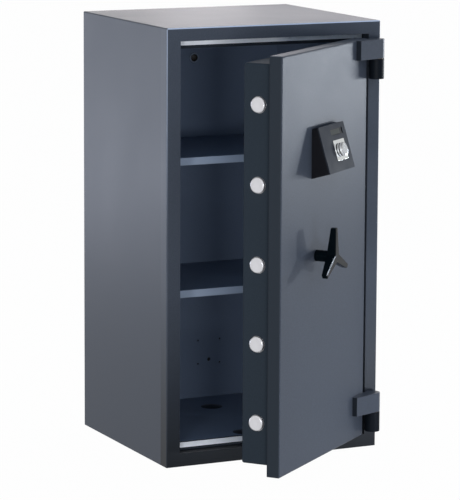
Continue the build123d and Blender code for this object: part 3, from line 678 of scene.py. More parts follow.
# %% Turn the floor plugs
CAP, CAP_RISE = 0.026, 0.0025
PLUG_STEM, PLUG_LENGTH = 0.012, 0.014
low, high = box_in("anchor_plugs", Matrix())
dome = (CAP ** 2 + CAP_RISE ** 2) / (2 * CAP_RISE)
dome_corners = [(r, CAP_RISE - r * r / (2 * dome)) for r in mm(4, 8, 12, 16, 20, 23, 25)]
plug = turned("domed_plug", [
    (0, CAP_RISE - 0.0004),
    (0.0016, CAP_RISE - 0.0004),
    (0.0024, CAP_RISE - 0.0001),
    *dome_corners,
    (CAP - 0.0003, 0.0001),
    (CAP, 0),
    (PLUG_STEM, 0),
    (PLUG_STEM, -PLUG_LENGTH),
    (0, -PLUG_LENGTH),
], steps=72)
front_place = Vector((low.x + CAP, low.y + CAP, high.z - CAP_RISE))
rear_place = Vector((high.x - CAP, high.y - CAP, high.z - CAP_RISE))
rear_plug = copied(plug, "rear_plug", rear_place)
lay(plug, Matrix.Translation(front_place))
plugs = join("domed_plugs", [plug, rear_plug])
hand_over(plugs, "safe_body", "plug_plastic", "anchor_plugs")

# %% Turn the ring of the cable hole
RING_LIP = 0.0015
RING_TUBE, CABLE_HOLE = 0.0105, 0.0085
low, high = box_in("cable_grommet", Matrix())
ring_outer = (high.x - low.x) / 2
back_end = low.y + RING_LIP - high.y
ring = turned("cable_ring", [
    (CABLE_HOLE, RING_LIP - 0.0009),
    (CABLE_HOLE + 0.0003, RING_LIP - 0.0003),
    (CABLE_HOLE + 0.0010, RING_LIP),
    (ring_outer - 0.0014, RING_LIP - 0.0002),
    (ring_outer - 0.0004, RING_LIP - 0.0008),
    (ring_outer, 0),
    (RING_TUBE, 0),
    (RING_TUBE, back_end),
    (CABLE_HOLE, back_end),
    (CABLE_HOLE, RING_LIP - 0.0009),
], steps=56)
lay(ring, frame_at((0, low.y + RING_LIP, (low.z + high.z) / 2), (1, 0, 0), (0, 0, 1)))
hand_over(ring, "safe_body", "grommet_plastic", "cable_grommet")

# %% [markdown]
# ## Screws of the rear cover
# Eight low round-headed screws hold the cover of the bolt-work. They are too small for more than a
# turned head with a cross cut into it, and they sit where nobody looks first, so one is made with
# few faces and copied to all eight places.

# %% Make and copy the screws
HEAD, HEAD_RISE = 0.0045, 0.0025
SCREW_STEM = 0.002
CROSS_LENGTH, CROSS_WIDTH, CROSS_FLOOR = 0.0046, 0.0010, 0.0012
low, high = box_in("cover_screws", door_frame)
stem_end = low.y - high.y + HEAD_RISE
screw = turned("screw", [
    (0, HEAD_RISE),
    (0.0018, HEAD_RISE - 0.0001),
    (0.0034, HEAD_RISE - 0.0007),
    (0.0043, HEAD_RISE - 0.0017),
    (HEAD, 0),
    (SCREW_STEM, 0),
    (SCREW_STEM, stem_end),
    (0, stem_end),
], steps=24)
for long, wide in ((CROSS_LENGTH, CROSS_WIDTH), (CROSS_WIDTH, CROSS_LENGTH)):
    cut(screw, block("cross_cutter", (-long / 2, -wide / 2, CROSS_FLOOR), (long / 2, wide / 2, 0.004)))
rows = [low.z + HEAD + i * (high.z - low.z - 2 * HEAD) / 3 for i in range(4)]
screws = []
for x in (low.x + HEAD, high.x - HEAD):
    for z in rows:
        one = copied(screw, f"screw_{len(screws) + 1}")
        lay(one, door_frame @ frame_at((x, high.y - HEAD_RISE, z), (1, 0, 0), (0, 0, -1)))
        screws.append(one)
bpy.data.objects.remove(screw)
cross_screws = join("cross_screws", screws)
hand_over(cross_screws, "door", "steel", "cover_screws")

# %% [markdown]
# ## Finishes as node groups
# A painted safe is one graphite powder coat all over, so what tells its pieces apart is how the
# coat lies: its fine grain, its slow mottling and its thinner, lighter edges. Each of these effects
# is used by several finishes. Each is therefore built once, as a shader node group that puts out
# colours, masks, heights and normals, and every material feeds them to its own shader.

# %% Helpers for nodes
def add(tree, kind, inputs=None, **settings):
    """Adds a node, sets its properties, and sets or links its inputs by name or number"""
    node = tree.nodes.new(kind)
    for key, value in settings.items():
        setattr(node, key, value)
    for key, value in (inputs or {}).items():
        if isinstance(value, bpy.types.NodeSocket):
            tree.links.new(value, node.inputs[key])
        else:
            node.inputs[key].default_value = value
    return node


def calculate(tree, operation, first, second=0.0, clamp=False):
    """A Math node's result"""
    result = add(tree, "ShaderNodeMath", {0: first, 1: second}, operation=operation, use_clamp=clamp)
    return result.outputs[0]


def mapped(tree, value, start, end, low=0.0, high=1.0):
    """Maps the range from start to end to the one from low to high, and stops at its ends"""
    inputs = {"Value": value, 1: start, 2: end, 3: low, 4: high}
    return add(tree, "ShaderNodeMapRange", inputs).outputs[0]


def spread(tree, value, low, high):
    """Maps the middle part of a noise to a range"""
    return mapped(tree, value, 0.3, 0.7, low, high)


def object_place(tree):
    """The place on the object, in metres"""
    return add(tree, "ShaderNodeTexCoord").outputs["Object"]


def noise(tree, vector, scale, detail, **settings):
    """A noise between 0 and 1, with its scale in waves per metre"""
    inputs = {"Vector": vector, "Scale": scale, "Detail": detail}
    return add(tree, "ShaderNodeTexNoise", inputs, **settings).outputs[0]


def cells(tree, vector, scale, **settings):
    """The distance within each cell from its seed, or from its border if that is asked for"""
    voronoi = add(tree, "ShaderNodeTexVoronoi", {"Vector": vector, "Scale": scale}, **settings)
    return voronoi.outputs["Distance"]


def toned(tree, colour, tone):
    """A colour made lighter or darker by a factor"""
    return add(tree, "ShaderNodeVectorMath", {0: colour, "Scale": tone}, operation="SCALE").outputs[0]


# %% [markdown]
# A group is a small node tree of its own. Its sockets are made first, then its nodes, and last the
# links to its output node.

# %% Starting and finishing a group
PAINT_OUTPUTS = [("Color", "Color", None), ("Roughness", "Float", None), ("Height", "Float", None)]
METAL_OUTPUTS = [("Tone", "Float", None), ("Roughness", "Float", None), ("Height", "Float", None)]


def start_group(name, inputs, outputs):
    """A shader node group with its input and output sockets, each a name, a kind and a value"""
    tree = bpy.data.node_groups.new(name, "ShaderNodeTree")
    for direction, sockets in (("INPUT", inputs), ("OUTPUT", outputs)):
        for socket, kind, value in sockets:
            new = tree.interface.new_socket(name=socket, in_out=direction, socket_type="NodeSocket" + kind)
            if value is not None:
                new.default_value = value
    return tree, tree.nodes.new("NodeGroupInput").outputs, tree.nodes.new("NodeGroupOutput")


def finish_group(tree, output_node, results):
    """Links a group's results to its output node"""
    for socket, value in results.items():
        tree.links.new(value, output_node.inputs[socket])
    print("group", tree.name, "has", len(tree.nodes), "nodes")


# %% [markdown]
# Powder coat melts into a skin with a faint orange peel. Its colour drifts slowly over a large
# plate, and under a lamp it shows fine lighter and darker grain. Three noises at three scales give
# this: one over ten centimetres wide for the drift, one of two millimetres for the grain, and one
# of five millimetres for the peel, which goes to the bump only.

# %% Group: powder coat
powder_coat, given, result = start_group(
    "powder_coat",
    [
        ("Color", "Color", (0.06, 0.06, 0.07, 1)),
        ("Roughness", "Float", 0.42),
        ("Grain", "Float", 0.12),
        ("Drift", "Float", 0.08),
    ],
    PAINT_OUTPUTS,
)
tree = powder_coat
place = object_place(tree)
drift = noise(tree, place, 7.0, 3.0)
grain = noise(tree, place, 420.0, 2.0)
peel = noise(tree, place, 210.0, 1.0)
grain_part = calculate(tree, "MULTIPLY", spread(tree, grain, -1.0, 1.0), given["Grain"])
drift_part = calculate(tree, "MULTIPLY", spread(tree, drift, -1.0, 1.0), given["Drift"])
tone = calculate(tree, "ADD", calculate(tree, "ADD", grain_part, drift_part), 1.0)
rough = calculate(tree, "ADD", given["Roughness"], calculate(tree, "MULTIPLY", drift_part, 0.5))
rough = calculate(tree, "ADD", rough, calculate(tree, "MULTIPLY", grain_part, 0.3), clamp=True)
height = calculate(tree, "ADD", calculate(tree, "MULTIPLY", grain, 0.4), peel)
shade = toned(tree, given["Color"], tone)
finish_group(tree, result, {"Color": shade, "Roughness": rough, "Height": height})

# %% [markdown]
# Real plate has no mathematically sharp edge. Where a piece keeps its sharp construction mesh, the
# Bevel node rounds the shading normal near an edge. Comparing that normal with the true one also
# tells where the edges are, which is where a coat is thinnest and wears first. A lighter colour laid
# on this mask is that wear and also a painted highlight along the edge. A noise breaks the mask up,
# because wear is never even.

# %% Group: soft edges and their wear
soft_edges, given, result = start_group(
    "soft_edges",
    [("Radius", "Float", 0.001), ("Normal", "Vector", None)],
    [("Normal", "Vector", None), ("Edge", "Float", None)],
)
tree = soft_edges
rounded = add(tree, "ShaderNodeBevel", {"Radius": given["Radius"], "Normal": given["Normal"]}, samples=6)
plain = add(tree, "ShaderNodeBevel", {"Radius": given["Radius"]}, samples=6)
true_normal = add(tree, "ShaderNodeNewGeometry").outputs["True Normal"]
likeness = add(tree, "ShaderNodeVectorMath", {0: plain.outputs[0], 1: true_normal}, operation="DOT_PRODUCT")
turned_away = calculate(tree, "SUBTRACT", 1.0, likeness.outputs["Value"])
breaks = noise(tree, object_place(tree), 90.0, 3.0)
edge = calculate(tree, "MULTIPLY", turned_away, spread(tree, breaks, 1.0, 5.0), clamp=True)
finish_group(tree, result, {"Normal": rounded.outputs[0], "Edge": edge})

# %% [markdown]
# A turned surface carries fine rings about its axis, left by the tool's feed. They follow the place
# that each corner had on the lathe, so they stay round whichever way the piece points. Rings on
# end faces run with the radius and rings on the side run along the axis, so the noise reads both.

# %% Group: turned rings
turned_rings, given, result = start_group(
    "turned_rings",
    [("Rings per metre", "Float", 2500.0), ("Roughness", "Float", 0.33)],
    METAL_OUTPUTS,
)
tree = turned_rings
lathe = add(tree, "ShaderNodeAttribute", attribute_name="lathe_place").outputs["Vector"]
parts = add(tree, "ShaderNodeSeparateXYZ", {0: lathe}).outputs
across = add(tree, "ShaderNodeCombineXYZ", {0: parts["X"], 1: parts["Y"]}).outputs[0]
radius = add(tree, "ShaderNodeVectorMath", {0: across}, operation="LENGTH").outputs["Value"]
section = add(tree, "ShaderNodeCombineXYZ", {0: radius, 1: parts["Z"]}).outputs[0]
rings = noise(tree, section, given["Rings per metre"], 1.0, noise_dimensions="2D")
smudge = noise(tree, lathe, 60.0, 2.0)
tone = calculate(tree, "ADD", spread(tree, rings, -0.015, 0.015), spread(tree, smudge, 0.96, 1.01))
rough = calculate(tree, "ADD", spread(tree, rings, -0.02, 0.02), spread(tree, smudge, -0.03, 0.03))
rough = calculate(tree, "ADD", rough, given["Roughness"], clamp=True)
finish_group(tree, result, {"Tone": tone, "Roughness": rough, "Height": rings})

# %% [markdown]
# Plate and bar inside the door are cold-drawn: the finish runs one way, with a grey bloom over it.
# A noise stretched along the run gives the lines. The group takes the vector already turned and
# stretched, so each material can choose which way its metal was drawn.

# %% Group: drawn metal
drawn_metal, given, result = start_group(
    "drawn_metal",
    [("Vector", "Vector", None), ("Roughness", "Float", 0.35)],
    METAL_OUTPUTS,
)
tree = drawn_metal
lines = noise(tree, given["Vector"], 1.0, 4.0)
bloom = noise(tree, object_place(tree), 25.0, 4.0)
tone = calculate(tree, "ADD", spread(tree, lines, -0.08, 0.08), spread(tree, bloom, 0.85, 1.0))
change = calculate(tree, "ADD", spread(tree, bloom, 0.85, 1.22), spread(tree, lines, -0.12, 0.12))
rough = calculate(tree, "MULTIPLY", given["Roughness"], change, clamp=True)
finish_group(tree, result, {"Tone": tone, "Roughness": rough, "Height": lines})

# %% [markdown]
# Moulded plastic takes the etched grain of its mould: small flat cells with soft valleys between
# them. Distance to the edge of Voronoi cells draws the valleys, and a slow noise varies the gloss
# where hands have polished it.

# %% Group: moulded grain
moulded_grain, given, result = start_group(
    "moulded_grain",
    [
        ("Color", "Color", (0.02, 0.02, 0.02, 1)),
        ("Roughness", "Float", 0.45),
        ("Cells per metre", "Float", 1600.0),
    ],
    PAINT_OUTPUTS,
)
tree = moulded_grain
place = object_place(tree)
border = cells(tree, place, given["Cells per metre"], feature="DISTANCE_TO_EDGE")
valleys = mapped(tree, border, 0.0, 0.25)
hands = noise(tree, place, 35.0, 3.0)
tone = calculate(tree, "ADD", spread(tree, hands, 0.92, 1.04), calculate(tree, "MULTIPLY", valleys, 0.06))
rough = calculate(tree, "ADD", given["Roughness"], spread(tree, hands, -0.06, 0.06), clamp=True)
shade = toned(tree, given["Color"], tone)
finish_group(tree, result, {"Color": shade, "Roughness": rough, "Height": valleys})

# %% [markdown]
# The filling between the steel skins is cast: a mix with still darker grit and small air pockets.
# Two sizes of Voronoi cells make the grit and the pockets. It shows only at the bottom of the small
# holes in the lining, and on a cut-away view, and its dark grey is a painted shade for those holes.

# %% Group: cast filling
cast_filling, given, result = start_group(
    "cast_filling", [("Color", "Color", (0.05, 0.05, 0.05, 1))], PAINT_OUTPUTS,
)
tree = cast_filling
place = object_place(tree)
grit = mapped(tree, cells(tree, place, 160.0), 0.12, 0.28, 0.6, 1.0)
pockets = mapped(tree, cells(tree, place, 70.0), 0.06, 0.14)
clouds = noise(tree, place, 14.0, 5.0)
tone = calculate(tree, "MULTIPLY", grit, spread(tree, clouds, 0.8, 1.1))
height = calculate(tree, "ADD", pockets, calculate(tree, "MULTIPLY", grit, 0.4))
shade = toned(tree, given["Color"], tone)
rough = spread(tree, clouds, 0.8, 0.95)
finish_group(tree, result, {"Color": shade, "Roughness": rough, "Height": height})

# %% [markdown]
# The frame gets a painted highlight: a thin line of light painted on its front corner. The line
# lies where the distance from the front and the distance from the side or the top add up to
# little. It is full at the head and fades on the way down. The frame also gets a painted shade
# that darkens it towards its foot. Both masks come from one group, which measures from the frame's own box.

# %% Group: painted highlight on the front corner and painted shade at the foot of the frame
# Where the painted highlight on the corner ends and where it is full, in metres
LINE_END, LINE_FULL = 0.0029, 0.0020
SIDE_SHARE = 1.6
FADE_LOW, FADE_HIGH = 0.55, 0.995
# Height below which a painted shade darkens the frame towards its foot
FOOT_HEIGHT = 0.40
low, high = box_in("frame_head", Matrix())
frame_marks, given, result = start_group(
    "frame_marks", [], [("Edge", "Float", None), ("Foot", "Float", None)],
)
tree = frame_marks
place = add(tree, "ShaderNodeSeparateXYZ", {0: object_place(tree)}).outputs
from_side = calculate(tree, "SUBTRACT", high.x, calculate(tree, "ABSOLUTE", place["X"]))
from_side = calculate(tree, "MULTIPLY", from_side, SIDE_SHARE)
from_top = calculate(tree, "SUBTRACT", high.z, place["Z"])
from_front = calculate(tree, "SUBTRACT", place["Y"], low.y)
reach = calculate(tree, "ADD", calculate(tree, "MINIMUM", from_side, from_top), from_front)
fade = mapped(tree, place["Z"], FADE_LOW, FADE_HIGH, 0.05, 1.0)
edge = calculate(tree, "MULTIPLY", mapped(tree, reach, LINE_END, LINE_FULL), fade)
finish_group(tree, result, {"Edge": edge, "Foot": mapped(tree, place["Z"], FOOT_HEIGHT, 0.0)})

# %% [markdown]
# ## Materials
# A material starts with its shader and the values that are the same all over it. A group is then
# placed in it with the finish's own values, and its outputs are linked to the shader.

# %% Starting a material
finishes = {}


def start_material(name, **values):
    """A new finish, with its shader's constant values given by the sockets' names"""
    material = bpy.data.materials.new(name)
    material.use_nodes = True
    finishes[name] = material
    shader = material.node_tree.nodes["Principled BSDF"]
    for socket, value in values.items():
        shader.inputs[socket.replace("_", " ")].default_value = value
    return material.node_tree, shader


def place_group(tree, group, **values):
    """Places a group in a material with its inputs set or linked"""
    inputs = {socket.replace("_", " "): value for socket, value in values.items()}
    return add(tree, "ShaderNodeGroup", inputs, node_tree=group).outputs


def bump(tree, height, strength, distance):
    """The normal of a bump from a height, with the distance in metres"""
    inputs = {"Height": height, "Strength": strength, "Distance": distance}
    return add(tree, "ShaderNodeBump", inputs).outputs[0]


def mixed(tree, factor, first, second):
    """Two colours mixed by a mask. The colour sockets of a Mix node are its seventh and eighth."""
    return add(tree, "ShaderNodeMix", {0: factor, 6: first, 7: second}, data_type="RGBA").outputs[2]


def connect(tree, shader, **values):
    """Links values that change over the surface to the shader"""
    for socket, value in values.items():
        tree.links.new(value, shader.inputs[socket.replace("_", " ")])


# %% [markdown]
# The coat is a dark blue-grey on body and door, and a lighter one inside, where it makes the
# contents easier to see. The frame has a lighter copy of the body's coat, as painted light on its
# front. The bolt-work case and the hinge knuckles are darker still, and the ends of the hinge arms
# carry a painted shade. The door's front shows the most grain, and the inside is the smoothest.
# Pieces with welded joints between them, such as the frame and the outer plates, keep their plain
# normals, so that a joint that was ground flush stays unseen. Loose pieces such as the door, the
# case and the shelves get the soft edges, and where they have a lighter edge colour it is both wear
# and a painted highlight.

# %% Paints
GRAPHITE = (0.055, 0.063, 0.079, 1)
# Lighter edge colour: wear, and a painted highlight along the edges
GRAPHITE_WEAR_AND_HIGHLIGHT = (0.12, 0.13, 0.15, 1)
# A lighter copy of the body's coat: painted light on the frame's front
FRAME_PAINTED_LIGHT_GREY = (0.064, 0.073, 0.090, 1)
CASE_GREY = (0.032, 0.040, 0.048, 1)
KNUCKLE_GREY = (0.006, 0.008, 0.011, 1)
# Painted shade on the ends of the hinge arms, the faces turned towards the door's free edge
ARM_END_PAINTED_SHADE = (0.016, 0.019, 0.024, 1)
INSIDE_GREY = (0.165, 0.212, 0.300, 1)
# Lighter edge colour inside: wear, and a painted highlight along the edges
INSIDE_WEAR_AND_HIGHLIGHT = (0.26, 0.31, 0.40, 1)
PEEL_DEPTH = 0.0003


def painted(
    name, grain, colour=GRAPHITE, edge_radius=0, edge_wear_and_highlight=GRAPHITE_WEAR_AND_HIGHLIGHT,
    roughness=0.40, drift=0.025, peel=0.12, ior=1.22,
):
    """A powder-coated finish. An edge radius adds soft edges, where a lighter colour shows, as wear and as a
    painted highlight.
    """
    tree, shader = start_material(name, IOR=ior)
    coat = place_group(tree, powder_coat, Color=colour, Roughness=roughness, Grain=grain, Drift=drift)
    shade, normal = coat["Color"], bump(tree, coat["Height"], peel, PEEL_DEPTH)
    if edge_radius:
        edges = place_group(tree, soft_edges, Radius=edge_radius, Normal=normal)
        normal = edges["Normal"]
        if edge_wear_and_highlight:
            shade = mixed(tree, edges["Edge"], shade, edge_wear_and_highlight)
    connect(tree, shader, Base_Color=shade, Roughness=coat["Roughness"], Normal=normal)


painted("body_paint", 0.10)
# The frame: a lighter coat as painted light
painted("frame_paint", 0.10, FRAME_PAINTED_LIGHT_GREY)
painted("knuckle_paint", 0.10, KNUCKLE_GREY, ior=1.12)
painted("door_paint", 0.14, edge_radius=0.0012)
# Painted shade for the ends of the hinge arms
painted("arm_end_painted_shade", 0.14, ARM_END_PAINTED_SHADE, ior=1.12)
painted("door_skin", 0.21, edge_radius=0.0045, edge_wear_and_highlight=None, peel=0.22, ior=1.15)
painted("liner_paint", 0.06, INSIDE_GREY, drift=0.03)
painted("case_paint", 0.08, CASE_GREY, edge_radius=0.0012, ior=1.05)
painted("shelf_paint", 0.06, INSIDE_GREY, edge_radius=0.0010, edge_wear_and_highlight=INSIDE_WEAR_AND_HIGHLIGHT, roughness=0.38, drift=0.03)
print("paints", list(finishes))

# %% [markdown]
# Some narrow parts of a coat are painted light and shade. Besides the frame's painted highlight and
# the painted shade at its foot, these are a painted light on the lip of each shelf, a painted shade
# on the front of the lining beside the seals, and a painted shade along the fold of the door's free
# edge, which the picture shows darker than the sheet. Each of the last three is the outermost half
# millimetre of a mesh in one direction, so a dot product with that direction finds it.

# %% Painted light and shade on the paints
# Painted highlight: a thin line of light on the frame's front corner
CORNER_PAINTED_HIGHLIGHT = (0.60, 0.66, 0.78, 1)
# Painted shade that darkens the frame towards its foot
FOOT_PAINTED_SHADE = (0.008, 0.010, 0.013, 1)
# Painted light on the lip of each shelf
SHELF_LIP_PAINTED_LIGHT = (0.37, 0.44, 0.55, 1)
# Painted shade on the front of the lining beside the seals
LINING_FRONT_PAINTED_SHADE = (0.020, 0.025, 0.033, 1)
# Painted shade along the fold of the door's free edge
FOLD_PAINTED_SHADE = (0.030, 0.036, 0.043, 1)
MARK_WIDTH, MARK_SOFTNESS = 0.0005, 0.0001
forward = Vector((0, -1, 0))
free_edge = -door_frame.col[0].xyz


def blend_over(finish, mask, colour):
    """Lays one more colour over a finish's own, where a mask says so"""
    tree = finishes[finish].node_tree
    target = tree.nodes["Principled BSDF"].inputs["Base Color"]
    tree.links.new(mixed(tree, mask, target.links[0].from_socket, colour), target)


def mark_end(finish, node, out, colour):
    """Gives a finish another colour on the outermost part of a node in one direction"""
    tree = finishes[finish].node_tree
    end = max(out.dot(vertex.co) for vertex in nodes[node].data.vertices)
    far = add(tree, "ShaderNodeVectorMath", {0: object_place(tree), 1: out}, operation="DOT_PRODUCT")
    start = end - MARK_WIDTH
    blend_over(finish, mapped(tree, far.outputs["Value"], start, start + MARK_SOFTNESS), colour)
    print(finish, "marked past", round(start, 4))


marks = place_group(finishes["frame_paint"].node_tree, frame_marks)
# Painted shade towards the frame's foot
blend_over("frame_paint", marks["Foot"], FOOT_PAINTED_SHADE)
# Painted highlight on the frame's front corner
blend_over("frame_paint", marks["Edge"], CORNER_PAINTED_HIGHLIGHT)
# Painted shade on the front of the lining beside the seals
mark_end("liner_paint", "liner_floor", forward, LINING_FRONT_PAINTED_SHADE)
# Painted light on the lip of each shelf
mark_end("shelf_paint", "upper_shelf", forward, SHELF_LIP_PAINTED_LIGHT)
# Painted shade along the fold of the door's free edge
mark_end("door_skin", "door_pan", free_edge, FOLD_PAINTED_SHADE)

# %% [markdown]
# The bolts, the knob and the screws are turned, so they take the rings. The knob's front is
# chromed, and its side is left satin for a better hold. Plates and bars hidden in the door are
# drawn steel, the lock's hard plate is darker for its heat treatment, and washers and bush are a
# dark bronze. The dial plate is polished until it mirrors the knob.

# %% Metals
def turned_metal(name, colour, roughness, rings, depth):
    """Metal with fine rings about the axis that it was turned on"""
    tree, shader = start_material(name, Metallic=1.0)
    lathe = place_group(tree, turned_rings, Rings_per_metre=rings, Roughness=roughness)
    shade, normal = toned(tree, colour, lathe["Tone"]), bump(tree, lathe["Height"], 0.15, depth)
    connect(tree, shader, Base_Color=shade, Roughness=lathe["Roughness"], Normal=normal)


def drawn_finish(name, colour, roughness, run, depth=0.00005):
    """Metal drawn along an axis, given as how many lines there are per metre along X, Y and Z"""
    tree, shader = start_material(name, Metallic=1.0)
    stretched = add(tree, "ShaderNodeMapping", {"Vector": object_place(tree), "Scale": run}).outputs[0]
    metal = place_group(tree, drawn_metal, Vector=stretched, Roughness=roughness)
    normal = bump(tree, metal["Height"], 0.1, depth)
    normal = place_group(tree, soft_edges, Radius=0.0005, Normal=normal)["Normal"]
    shade = toned(tree, colour, metal["Tone"])
    connect(tree, shader, Base_Color=shade, Roughness=metal["Roughness"], Normal=normal)


turned_metal("bright_bar", (0.64, 0.64, 0.67), 0.33, 2500.0, 2e-6)
turned_metal("turned_chrome", (0.345, 0.352, 0.362), 0.16, 4000.0, 3e-7)
turned_metal("knob_side", (0.90, 0.91, 0.93), 0.50, 4000.0, 3e-7)
turned_metal("screw_steel", (0.40, 0.40, 0.42), 0.33, 3000.0, 1e-5)
drawn_finish("steel", (0.46, 0.46, 0.47), 0.34, (900.0, 900.0, 14.0))
drawn_finish("hard_steel", (0.20, 0.20, 0.22), 0.42, (14.0, 700.0, 700.0))
drawn_finish("brass", (0.26, 0.20, 0.12), 0.36, (600.0, 600.0, 600.0))
drawn_finish("mirror_plate", (0.60, 0.62, 0.62), 0.05, (900.0, 14.0, 900.0), 1e-6)
print(len(finishes), "finishes with the metals")

# %% [markdown]
# The lock's housing, the battery and the floor plugs are moulded plastic, and the face is a
# smoother one. The seals are rubber-like, and so is the cable ring, black in its bore and about as
# light as the lining on its lip. The handle is a cast piece under a thin black gloss coat.

# %% Plastics, rubber and the handle's coat
def moulded(name, colour, roughness, cells_per_metre, depth, ior=1.3):
    """A finish with the grain of a mould"""
    tree, shader = start_material(name, IOR=ior)
    skin = place_group(
        tree, moulded_grain, Color=(*colour, 1), Roughness=roughness, Cells_per_metre=cells_per_metre,
    )
    normal = bump(tree, skin["Height"], 0.2, depth)
    connect(tree, shader, Base_Color=skin["Color"], Roughness=skin["Roughness"], Normal=normal)


moulded("lock_case", (0.006, 0.006, 0.008), 0.42, 1500.0, 5e-5, ior=1.2)
moulded("lock_face", (0.022, 0.025, 0.032), 0.45, 2400.0, 2e-5, ior=1.10)
moulded("plug_plastic", (0.012, 0.013, 0.016), 0.35, 1400.0, 4e-5)
moulded("grommet_plastic", (0.004, 0.004, 0.005), 0.50, 1800.0, 3e-5, ior=1.08)
moulded("grommet_lip", (0.23, 0.28, 0.37), 0.45, 1800.0, 3e-5, ior=1.2)
moulded("seal", (0.95, 0.96, 0.98), 0.55, 700.0, 1e-4, ior=1.45)
moulded("handle_paint", (0.0008, 0.003, 0.0045), 0.13, 2600.0, 1e-6, ior=1.21)
moulded("battery", (0.030, 0.032, 0.040), 0.32, 900.0, 1e-5)
print(len(finishes), "finishes with the plastics")

# %% [markdown]
# Four finishes share nothing with the others: the dark glass of the display, its liquid-crystal
# field, the board behind it and the filling. The glass has a little dust on it. The field has a
# very fine raster, as such a display has when it is off. The board shows tracks under green lacquer.

# %% Display, board and filling
tree, shader = start_material("dark_glass", IOR=1.12)
dust = noise(tree, object_place(tree), 900.0, 4.0)
shade = toned(tree, (0.004, 0.004, 0.005), spread(tree, dust, 0.8, 1.6))
connect(tree, shader, Base_Color=shade, Roughness=spread(tree, dust, 0.32, 0.42))

tree, shader = start_material("display_field", IOR=1.10)
place = object_place(tree)
raster = cells(tree, place, 1800.0, feature="DISTANCE_TO_EDGE")
clouds = noise(tree, place, 60.0, 2.0)
tone = calculate(tree, "ADD", calculate(tree, "MULTIPLY", raster, 0.3), spread(tree, clouds, 0.90, 1.0))
shade = toned(tree, (0.050, 0.052, 0.044), tone)
connect(tree, shader, Base_Color=shade, Roughness=spread(tree, clouds, 0.42, 0.50))

tree, shader = start_material("board", IOR=1.45)
tracks = mapped(tree, cells(tree, object_place(tree), 260.0, distance="MANHATTAN"), 0.35, 0.40)
shade = mixed(tree, tracks, (0.010, 0.090, 0.035, 1), (0.030, 0.170, 0.070, 1))
normal = bump(tree, tracks, 0.2, 3e-5)
connect(tree, shader, Base_Color=shade, Roughness=spread(tree, tracks, 0.30, 0.42), Normal=normal)

# The filling's dark grey is a painted shade for the holes in the lining
tree, shader = start_material("barrier")
mix = place_group(tree, cast_filling, Color=(0.050, 0.050, 0.054, 1))
normal = bump(tree, mix["Height"], 0.4, 0.0008)
connect(tree, shader, Base_Color=mix["Color"], Roughness=mix["Roughness"], Normal=normal)
print(len(finishes), "finishes in all")

# %% [markdown]
# Each node takes the finish of its slot in the record, except those that need more than their slot
# says. The shelves have the soft edges of bent sheet and a painted light on their lips. The frame has
# a lighter coat as painted light, with a painted highlight on its corner and a painted shade at its
# foot. The door's front sheet has the strongest grain and a painted shade along its fold, and the
# bolt-work case is darker.

# %% Dress the nodes
slots = {part["node"]: part["material_slot"] for part in frame["record"]["subparts"]}
own_finish = {
    "upper_shelf": "shelf_paint",
    "lower_shelf": "shelf_paint",
    "shelf_brackets": "shelf_paint",
    "frame_head": "frame_paint",
    "frame_sill": "frame_paint",
    "frame_bolt_jamb": "frame_paint",
    "frame_hinge_jamb": "frame_paint",
    "door_pan": "door_skin",
    "bolt_case": "case_paint",
    "case_cover": "case_paint",
    "lock_knob": "turned_chrome",
    "lock_display": "dark_glass",
}
for node, piece in nodes.items():
    finish = own_finish.get(node, slots[node])
    for material_slot in piece.material_slots:
        material_slot.material = finishes[finish]
print(len(nodes), "nodes dressed,", len(own_finish), "of them with a finish other than their slot's")

# %% [markdown]
# Each modelled piece has one finish all over, found by how its name starts. Some then get a second
# one on a few faces: the ends of the hinge arms and the groove of the knob, both a painted shade,
# the side of the knob, the lip of the cable ring and the field of the display.

# %% Dress the modelled pieces
piece_finishes = {
    "tapered_arm": "door_paint",
    "welded_knuckle": "knuckle_paint",
    "turned_bolt": "bright_bar",
    "three_spoke_handle": "handle_paint",
    "moulded_housing": "lock_case",
    "tilted_face": "lock_face",
    "display_pane": "dark_glass",
    "polished_plate": "mirror_plate",
    "grooved_knob": "turned_chrome",
    "seal_": "seal",
    "domed_plugs": "plug_plastic",
    "cable_ring": "grommet_plastic",
    "cross_screws": "screw_steel",
}
for name in made:
    finish = next(finish for start, finish in piece_finishes.items() if name.startswith(start))
    materials = bpy.data.objects[name].data.materials
    materials.clear()
    materials.append(finishes[finish])


def dress_faces(name, finish, test):
    """Gives the faces whose middle and direction pass the test another finish"""
    mesh = bpy.data.objects[name].data
    mesh.materials.append(finishes[finish])
    chosen = [face for face in mesh.polygons if test(face.center, face.normal)]
    for face in chosen:
        face.material_index = len(mesh.materials) - 1
    print(name, "has", finish, "on", len(chosen), "of its faces")


def on_knob_side(middle, facing):
    """The faces round the knob, from its base to its rim"""
    place = panel_frame.inverted() @ middle
    at_side = place.xy.length > knob_radius - 0.002
    return at_side and KNOB_BASE < place.z < knob_top - KNOB_RIM


def in_groove(middle, facing):
    """The faces of the knob's groove"""
    height = (panel_frame.inverted() @ middle).z
    return on_knob_side(middle, facing) and groove_start < height < groove_end


# The ends of the hinge arms, turned towards the door's free edge, get a painted shade
for level in ("lower", "upper"):
    dress_faces("tapered_arm_" + level, "arm_end_painted_shade", lambda middle, facing: facing.dot(free_edge) > 0.6)
# The knob's groove is black: a painted shade
dress_faces("grooved_knob", "lock_case", in_groove)
dress_faces(
    "grooved_knob", "knob_side",
    lambda middle, facing: on_knob_side(middle, facing) and not in_groove(middle, facing),
)
ring_front = min(face.center.y for face in bpy.data.objects["cable_ring"].data.polygons)
dress_faces(
    "cable_ring", "grommet_lip",
    lambda middle, facing: middle.y < ring_front + 0.0008 and facing.y < -0.3,
)
dress_faces("display_pane", "display_field", lambda middle, facing: (middle - field_middle).length < 1e-5)

